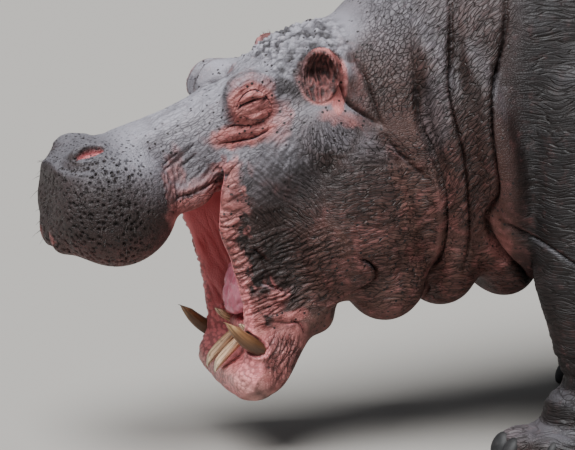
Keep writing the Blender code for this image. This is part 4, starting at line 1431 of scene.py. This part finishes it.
def hide_material():
    """Skin with its finest creases along the webs in the mesh, and a fine net where there are none."""
    g = Graph("hide_skin")
    here = g.place()
    share, wet = g.attribute("flow_share"), g.attribute("wet")
    pit = g.times(g.ramp(g.cells(here, 105), 0.34, 0.16), g.attribute("pitted"))
    crease = g.times(g.ramp(g.cells(g.flow((3.2, 1.7, 3.2)), 1.0, "DISTANCE_TO_EDGE"), 0.13, 0.0), share)
    bare = g.larger(g.attribute("painted_sheen"), g.times(g.attribute("pink"), 0.8))
    crease = g.times(crease, g.minus(1.0, g.times(bare, 0.62)))
    net = g.times(g.ramp(g.cells(here, 150, "DISTANCE_TO_EDGE"), 0.0, 0.16, 0, 0.7), 0.5)
    net = g.times(net, g.times(g.minus(1.0, g.times(wet, 0.4)), g.minus(1.0, g.times(share, 0.7))))
    g.bump(g.minus(g.minus(net, crease), g.times(pit, 1.4)), 1.0, 0.0022)
    # painted shade in the finest creases and in the muzzle's pits
    deep = g.larger(g.times(crease, 0.7), g.times(pit, 0.8))
    g.paint(g.mix(deep, hide_colour(g, here), CREASE_SHADE))
    g.feed(g.shader.inputs["Roughness"], g.ramp(wet, 0, 1, 0.54, 0.32))
    g.shader.inputs["Specular IOR Level"].default_value = 0.34
    return g.made


def ivory_material(name, root, middle, tip):
    """Tooth enamel, stained from its root to its tip and streaked along its length."""
    g = Graph(name)
    reach = g.attribute("reach")
    along = g.nodes.new("ShaderNodeCombineXYZ")
    for socket, (part, scale) in enumerate((("turn", 3.0), ("other_turn", 3.0), ("reach", 1.6))):
        g.feed(along.inputs[socket], g.times(g.attribute(part), scale))
    streak = g.noise(along.outputs[0], 1.6, 4)
    stain = g.noise(g.place(), 60, 4)
    colour = g.mix(g.ramp(reach, 0.30, 0.80), root, middle)
    colour = g.mix(g.ramp(reach, 0.70, 1.0), colour, tip)
    colour = g.mix(g.ramp(streak, 0.46, 0.60, 0, 0.72), colour, (0.085, 0.036, 0.014))
    g.paint(g.mix(g.ramp(stain, 0.54, 0.70, 0, 0.5), colour, (0.10, 0.045, 0.016)))
    g.shader.inputs["Roughness"].default_value = 0.34
    g.bump(streak, 0.8, 0.0030)
    return g.made


def simple_material(name, first, second, scale, rough, bump_by=0.0):
    """Two colours mixed by noise."""
    g = Graph(name)
    share = g.noise(g.place(), scale, 3)
    g.paint(g.mix(g.ramp(share, 0.35, 0.65), first, second))
    g.shader.inputs["Roughness"].default_value = rough
    if bump_by:
        g.bump(share, 0.7, bump_by)
    return g.made


def eye_material():
    """The ball, darker in the iris and black in the pupil."""
    g = Graph("eye_surface")
    gaze = g.attribute("gaze")
    colour = g.mix(g.ramp(gaze, 0.80, 0.84), (0.20, 0.10, 0.08), (0.045, 0.020, 0.008))
    g.paint(g.mix(g.ramp(gaze, 0.955, 0.965), colour, (0.003, 0.003, 0.003)))
    g.shader.inputs["Roughness"].default_value = 0.08
    return g.made


# ---------------------------------------------------------------- pieces of their own

Tooth = namedtuple("Tooth", "root tip radius bend")
LOWER_TUSK = Tooth((0.163, -0.083, 0.232), (0.181, -0.222, 0.330), 0.0185, (0.010, -0.010, -0.014))
LOWER_MIDDLE = Tooth((0.031, -0.104, 0.290), (0.034, -0.203, 0.196), 0.0125, (0, -0.005, 0.005))
LOWER_OUTER = Tooth((0.098, -0.108, 0.292), (0.104, -0.152, 0.326), 0.0090, (0, -0.003, -0.002))
UPPER_TUSK = Tooth((0.080, -0.420, 0.668), (0.086, -0.436, 0.545), 0.0160, (0.004, -0.008, 0))
UPPER_MIDDLE = Tooth((0.030, -0.473, 0.640), (0.031, -0.487, 0.545), 0.0125, (0, -0.004, 0))
UPPER_OUTER = Tooth((0.068, -0.457, 0.640), (0.072, -0.469, 0.555), 0.0110, (0, -0.004, 0))
TUSK_LIFT = {1: (0.004, 0.008, 0.027), -1: (0, 0, 0)}  # the left lower tusk sits higher than the right one


def ring_faces(rows, count, base=0):
    """Faces over rows of count points, numbered from base, with both ends closed."""
    faces = []
    for i in range(rows - 1):
        for k in range(count):
            a, b = base + i * count + k, base + i * count + (k + 1) % count
            faces.append((a, b, b + count, a + count))
    faces.append(tuple(range(base, base + count))[::-1])
    faces.append(tuple(range(base + (rows - 1) * count, base + rows * count)))
    return faces


def solid(name, points, faces):
    mesh = bpy.data.meshes.new(name)
    mesh.from_pydata(points.tolist(), [], faces)
    return add_object(name, mesh)


def tooth_line(shape, side, lift, rings):
    """Points along the middle of a tooth, from the root to the tip."""
    mirror = np.array((side, 1, 1))
    root, tip, bend = (np.array(v) * mirror for v in (shape.root, shape.tip, shape.bend))
    share = np.linspace(0, 1, rings)
    return root + np.outer(share, tip - root) + np.outer(4 * share * (1 - share), bend) + np.array(lift)


def sculpt_gums(hide):
    """A raised ring of gum round each tooth, and a cleft between the two, darkened with painted shade."""
    for shape in (LOWER_TUSK, LOWER_MIDDLE, LOWER_OUTER, UPPER_TUSK, UPPER_MIDDLE, UPPER_OUTER):
        for _, side in SIDES:
            centres = tooth_line(shape, side, TUSK_LIFT[side] if shape is LOWER_TUSK else (0, 0, 0), 24)
            index = np.flatnonzero((np.abs(hide.p - centres.mean(0)) < 0.10).all(1))
            gap = np.full(len(index), 9.0)
            for centre in centres:
                gap = np.minimum(gap, np.linalg.norm(hide.p[index] - centre, axis=1))
            edge = gap - shape.radius
            hide.rise[index] += 0.0045 * bell(edge - 0.007, 0.0045) - 0.0040 * bell(edge, 0.0035)
            hide.line[index] = np.maximum(hide.line[index], bell(edge, 0.0035))
    hide.press()


def tooth(shape, side, seed, lift=(0, 0, 0), taper=0.75):
    """A curved, grooved peg with a blunt tip, worn to a slant on its inner face."""
    rings, points = 44, 30
    share = np.linspace(0, 1, rings)
    centres = tooth_line(shape, side, lift, rings)
    along = np.gradient(centres, axis=0)
    along /= np.linalg.norm(along, axis=1, keepdims=True)
    across = np.cross(along, (1, 0, 0))
    across /= np.linalg.norm(across, axis=1, keepdims=True)
    other = np.cross(along, across)
    radius = shape.radius * (1 - taper * np.maximum(0, (share - 0.45) / 0.55) ** (1.2 / taper))
    turns = np.linspace(0, 2 * math.pi, points, endpoint=False)
    grooves = 1 - 0.035 * bell(np.sin(2.5 * turns + seed), 0.3) + 0.012 * np.cos(9 * turns + 2 * seed)
    size = radius[:, None] * grooves
    rows = centres[:, None] + across[:, None] * (np.cos(turns) * size)[..., None]
    rows += other[:, None] * (np.sin(turns) * size)[..., None]
    flat = rows.reshape(-1, 3)
    flat += (0.03 * shape.radius * noise(flat / (0.7 * shape.radius), 70 + seed))[:, None]
    worn = rings * 7 // 8
    slant = along[worn] * 0.55 + across[worn] * 0.83
    over = np.maximum((flat - centres[worn]) @ slant - 0.1 * shape.radius, 0)
    flat -= 0.9 * over[:, None] * slant
    obj = solid("tooth", flat, ring_faces(rings, points))
    painted(obj.data, {
        "reach": np.repeat(share, points),
        "turn": np.tile(np.sin(turns), rings),
        "other_turn": np.tile(np.cos(turns), rings),
    })
    return obj


def tongue():
    """A broad tongue with a furrow down its middle and a rough top."""
    obj = add_object("tongue_skin", ellipsoid((0, 0, 0), (0.103, 0.050, 0.133), (0, 0, 0), 150, 110))
    points = points_of(obj.data)
    normals = normals_of(obj.data)
    top = step(0.1, -0.5, normals[:, 1])
    rise = -0.010 * bell(points[:, 0], 0.010) * top * step(0.128, 0.09, np.abs(points[:, 2]))
    rise -= 0.0040 * bell(noise(points / np.array((0.016, 0.03, 0.05)), 80), 0.18) * top
    rise += 0.0022 * noise(points / 0.008, 81) * top
    turn = np.array(turned((-29, 0, 0)))
    set_points(obj.data, (points + normals * rise[:, None]) @ turn.T + (0, -0.083, 0.448))
    return obj


def eye(side):
    """The ball, with how squarely each point faces along the gaze."""
    centre = np.array(EYE_CENTRE) * (side, 1, 1)
    gaze = np.array((0.94 * side, -0.33, 0.06))
    obj = add_object("eyeball", ellipsoid(centre, (EYE_RADIUS,) * 3, (0, 0, 0), 48, 32))
    painted(obj.data, {"gaze": normals_of(obj.data) @ (gaze / np.linalg.norm(gaze))})
    return obj


def toenails(side, foot_y, toe_reach):
    """The four blunt nails of a foot."""
    nails = []
    for across, back, size in TOES:
        yaw = math.radians(-across * TOE_SPLAY_DEG)
        toe = Vector((side * FOOT_X + across, foot_y - toe_reach + back, 0.026))
        forward = Vector((math.sin(yaw), -math.cos(yaw), 0)) * (0.062 * size)
        bm = ellipsoid((0, 0, 0), (0.029 * size, 0.020 * size, 0.036 * size), (-24, 0, 0), 28, 20)
        place = Matrix.Translation(toe + forward) @ Matrix.Rotation(yaw, 4, "Z")
        bmesh.ops.transform(bm, matrix=place, verts=bm.verts)
        for vertex in bm.verts:
            vertex.co.z = max(vertex.co.z, 0.001)
        nails.append(bm)
    return add_object("nails", joined(nails))


HAIR_SIDES, HAIR_ROWS = 5, 6
HAIR_PATCH = 0.003  # size of a hair's patch on the map of colours


def bristles(hide, mask, count, length, thick, lean, droop, seed):
    """Stiff hairs that grow from points picked where the mask is 1, as one solid mesh."""
    draw = np.random.default_rng(seed)
    able = np.flatnonzero(mask > 0.5)
    roots = draw.choice(able, min(count, len(able)), replace=False)
    share = np.linspace(0, 1, HAIR_ROWS)
    turns = np.linspace(0, 2 * math.pi, HAIR_SIDES, endpoint=False)
    radius = thick * (1 - 0.85 * share)
    rows, sides = np.indices((HAIR_ROWS, HAIR_SIDES)).reshape(2, -1)
    patch = HAIR_PATCH * (np.stack([sides / HAIR_SIDES, rows / HAIR_ROWS], 1) - 0.5)
    low, high = hide.p.min(0), hide.p.max(0)
    points, places, faces = [], [], []
    for number, root in enumerate(roots):
        start = hide.p[root]
        way = hide.n[root] + np.array(lean) * (hide.side[root], 1, 1) + draw.normal(0, 0.18, 3)
        way /= np.linalg.norm(way)
        size = length * draw.uniform(0.6, 1.2)
        line = start - way * 0.002 + np.outer(share, way) * size
        line[:, 2] -= droop * size * share**2
        across = np.cross(way, (0.3, 0.2, 0.93))
        across /= np.linalg.norm(across)
        other = np.cross(way, across)
        spokes = np.outer(np.cos(turns), across) + np.outer(np.sin(turns), other)
        points.append((line[:, None] + spokes * radius[:, None, None]).reshape(-1, 3))
        u = 0.5 + math.atan2(start[0], start[2] - 0.6) / (2 * math.pi)
        v = (start[1] - low[1]) / (high[1] - low[1])
        places.append(patch + (u, v))
        faces += ring_faces(HAIR_ROWS, HAIR_SIDES, number * HAIR_ROWS * HAIR_SIDES)
    obj = solid("hair", np.concatenate(points), faces)
    corners = np.empty(len(obj.data.loops), int)
    obj.data.loops.foreach_get("vertex_index", corners)
    unwrap = obj.data.uv_layers.new(name="OFBake")
    unwrap.data.foreach_set("uv", np.concatenate(places)[corners].ravel())
    return obj


def finish(obj, name, made, stands_for=()):
    """Names a piece, moves it to the CAD's frame and hands it over."""
    obj.name = name
    set_points(obj.data, points_of(obj.data) + [0, AXIS_Y, 0])
    obj.data.polygons.foreach_set("use_smooth", np.ones(len(obj.data.polygons), bool))
    obj.data.materials.clear()
    obj.data.materials.append(made)
    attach(obj, "root")
    if stands_for:
        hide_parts(*stands_for)


def add_skin():
    """The skin, sculpted and painted; returns it as an object and as a Hide."""
    skin = base_skin()
    hide = Hide(skin.data)
    for sculpt in (sculpt_folds, sculpt_eye, sculpt_nostril, sculpt_lower_lip, sculpt_gums, sculpt_ears):
        sculpt(hide)
    masks = tint_masks(hide)
    sculpt_wrinkles(hide)
    calm(hide, nostril_surround(hide), 4)
    masks["line"] = hide.line
    masks["flow"] = hide.flow
    masks["flow_share"] = hide.first * step(0.0, 0.25, hide.first - hide.second)
    painted(skin.data, masks)
    return skin, hide


def add_hair(hide):
    """Whiskers on the muzzle, a fringe on the ears' edges and the tassel of the tail."""
    hair = simple_material("bristle_hair", (0.018, 0.012, 0.010), (0.05, 0.035, 0.028), 200, 0.45)
    y, z, m = hide.q[:, 1], hide.q[:, 2], hide.m
    muzzle = step(-0.40, -0.44, y) * step(0.52, 0.56, z) * step(0.76, 0.73, z) * (1 - hide.nostril)
    muzzle *= (m[:, 2] > -0.6) & (m @ (0.5, -0.6, 0) > -0.1)
    rim = ear_share(hide) * (1 - ear_cup(hide)) * (m[:, 0] > 0.1) * (z > 0.90)
    tassel = (y > 2.74) & (z > 0.6) & (z < 0.76)
    for name, mask, count, length, thick, lean, droop, seed in (
        ("muzzle_bristles", muzzle, 150, 0.022, 0.0008, (0.1, -0.3, -0.5), 0.35, 3),
        ("ear_fringe", rim, 260, 0.013, 0.0005, (0.5, -0.2, 0.5), 0.1, 4),
        ("tail_bristles", tassel, 330, 0.045, 0.0008, (0, 0.1, -1.2), 0.2, 5),
    ):
        finish(bristles(hide, mask, count, length, thick, lean, droop, seed), name, hair)


def add_teeth_and_eyes():
    tusk_ivory = ivory_material("tusk_ivory", (0.050, 0.022, 0.010), (0.22, 0.105, 0.046), (0.56, 0.35, 0.18))
    tooth_ivory = ivory_material("tooth_ivory", (0.60, 0.37, 0.21), (0.84, 0.60, 0.38), (0.90, 0.71, 0.49))
    incisors = {
        "lower_middle": LOWER_MIDDLE, "lower_outer": LOWER_OUTER,
        "upper_middle": UPPER_MIDDLE, "upper_outer": UPPER_OUTER,
    }
    for name, side in SIDES:
        lower = tooth(LOWER_TUSK, side, 1 + side, TUSK_LIFT[side])
        finish(lower, f"lower_tusk_{name}", tusk_ivory, [f"tusk_lower_{name}"])
        upper = tooth(UPPER_TUSK, side, 5 + side)
        finish(upper, f"upper_tusk_{name}", tusk_ivory, [f"tusk_upper_{name}"])
        for place, shape in incisors.items():
            incisor = tooth(shape, side, 8 + side, taper=0.45)
            finish(incisor, f"incisor_{place}_{name}", tooth_ivory)
        finish(eye(side), f"eyeball_{name}", eye_material(), [f"eye_{name}"])


def add_toenails():
    horn = simple_material("nail_horn", (0.005, 0.0047, 0.0052), (0.017, 0.0155, 0.016), 60, 0.66, 0.0012)
    for end, legs, foot_y, reach in (
        ("front", FORELEGS, FORE_FOOT_Y, FORE_TOE_REACH), ("hind", HIND_LEGS, HIND_FOOT_Y, HIND_TOE_REACH)
    ):
        for name, side, shift in legs:
            finish(toenails(side, foot_y + shift, reach), f"toenails_{end}_{name}", horn)


def main():
    skin, hide = add_skin()
    add_hair(hide)
    add_teeth_and_eyes()
    fleshy = simple_material("tongue_surface", (0.46, 0.125, 0.175), (0.62, 0.215, 0.280), 40, 0.27, 0.001)
    finish(tongue(), "tongue_skin", fleshy, ["tongue"])
    add_toenails()
    flesh = ["head", "lower_jaw", "neck", "trunk", "foreleg_left", "foreleg_right", "hindleg_left"]
    flesh += ["hindleg_right", "tail", "ear_left", "ear_right"]
    finish(skin, "skin", hide_material(), flesh)


main()


# ---------------------------------------------------------------- camera, light and floor

AZIMUTH_DEG, ELEVATION_DEG, DISTANCE = 72, 9.5, 6.0
TARGET_Z = 0.54
VIEW_WIDTH = 1.4024  # of the picture, at the target
SENSOR_MM = 36


def camera():
    azimuth, elevation = math.radians(AZIMUTH_DEG), math.radians(ELEVATION_DEG)
    level = math.cos(elevation)
    back = Vector((math.sin(azimuth) * level, -math.cos(azimuth) * level, math.sin(elevation)))
    data = bpy.data.cameras.new("camera")
    data.sensor_width = SENSOR_MM
    data.lens = SENSOR_MM * DISTANCE / VIEW_WIDTH
    obj = bpy.data.objects.new("camera", data)
    obj.location = Vector((0, AXIS_Y, TARGET_Z)) + back * DISTANCE
    obj.rotation_euler = (-back).to_track_quat("-Z", "Y").to_euler()
    bpy.context.scene.collection.objects.link(obj)
    bpy.context.scene.camera = obj


def soft_sun(aim, power, colour, spread_deg):
    """A broad overhead light as wide as a patch of sky, even over the whole floor."""
    data = bpy.data.lights.new("sky", "SUN")
    data.energy = power
    data.color = colour
    data.angle = math.radians(spread_deg)
    obj = bpy.data.objects.new("sky", data)
    obj.rotation_euler = Vector(aim).to_track_quat("-Z", "Y").to_euler()
    bpy.context.scene.collection.objects.link(obj)


def stage():
    bm = bmesh.new()
    bmesh.ops.create_grid(bm, x_segments=1, y_segments=1, size=30)
    floor = add_object("floor", bm)
    made = bpy.data.materials.new("floor")
    made.use_nodes = True
    shader = made.node_tree.nodes["Principled BSDF"]
    shader.inputs["Base Color"].default_value = (0.33, 0.31, 0.285, 1)
    shader.inputs["Roughness"].default_value = 0.9
    floor.data.materials.append(made)
    floor.location.z = -0.0005
    world = bpy.data.worlds.new("studio")
    world.use_nodes = True
    world.node_tree.nodes["Background"].inputs[0].default_value = (0.85, 0.92, 1.0, 1)
    world.node_tree.nodes["Background"].inputs[1].default_value = 0.22
    bpy.context.scene.world = world
    soft_sun((-0.38, 0.42, -1), 7.5, (0.96, 0.98, 1.0), 46)


camera()
stage()
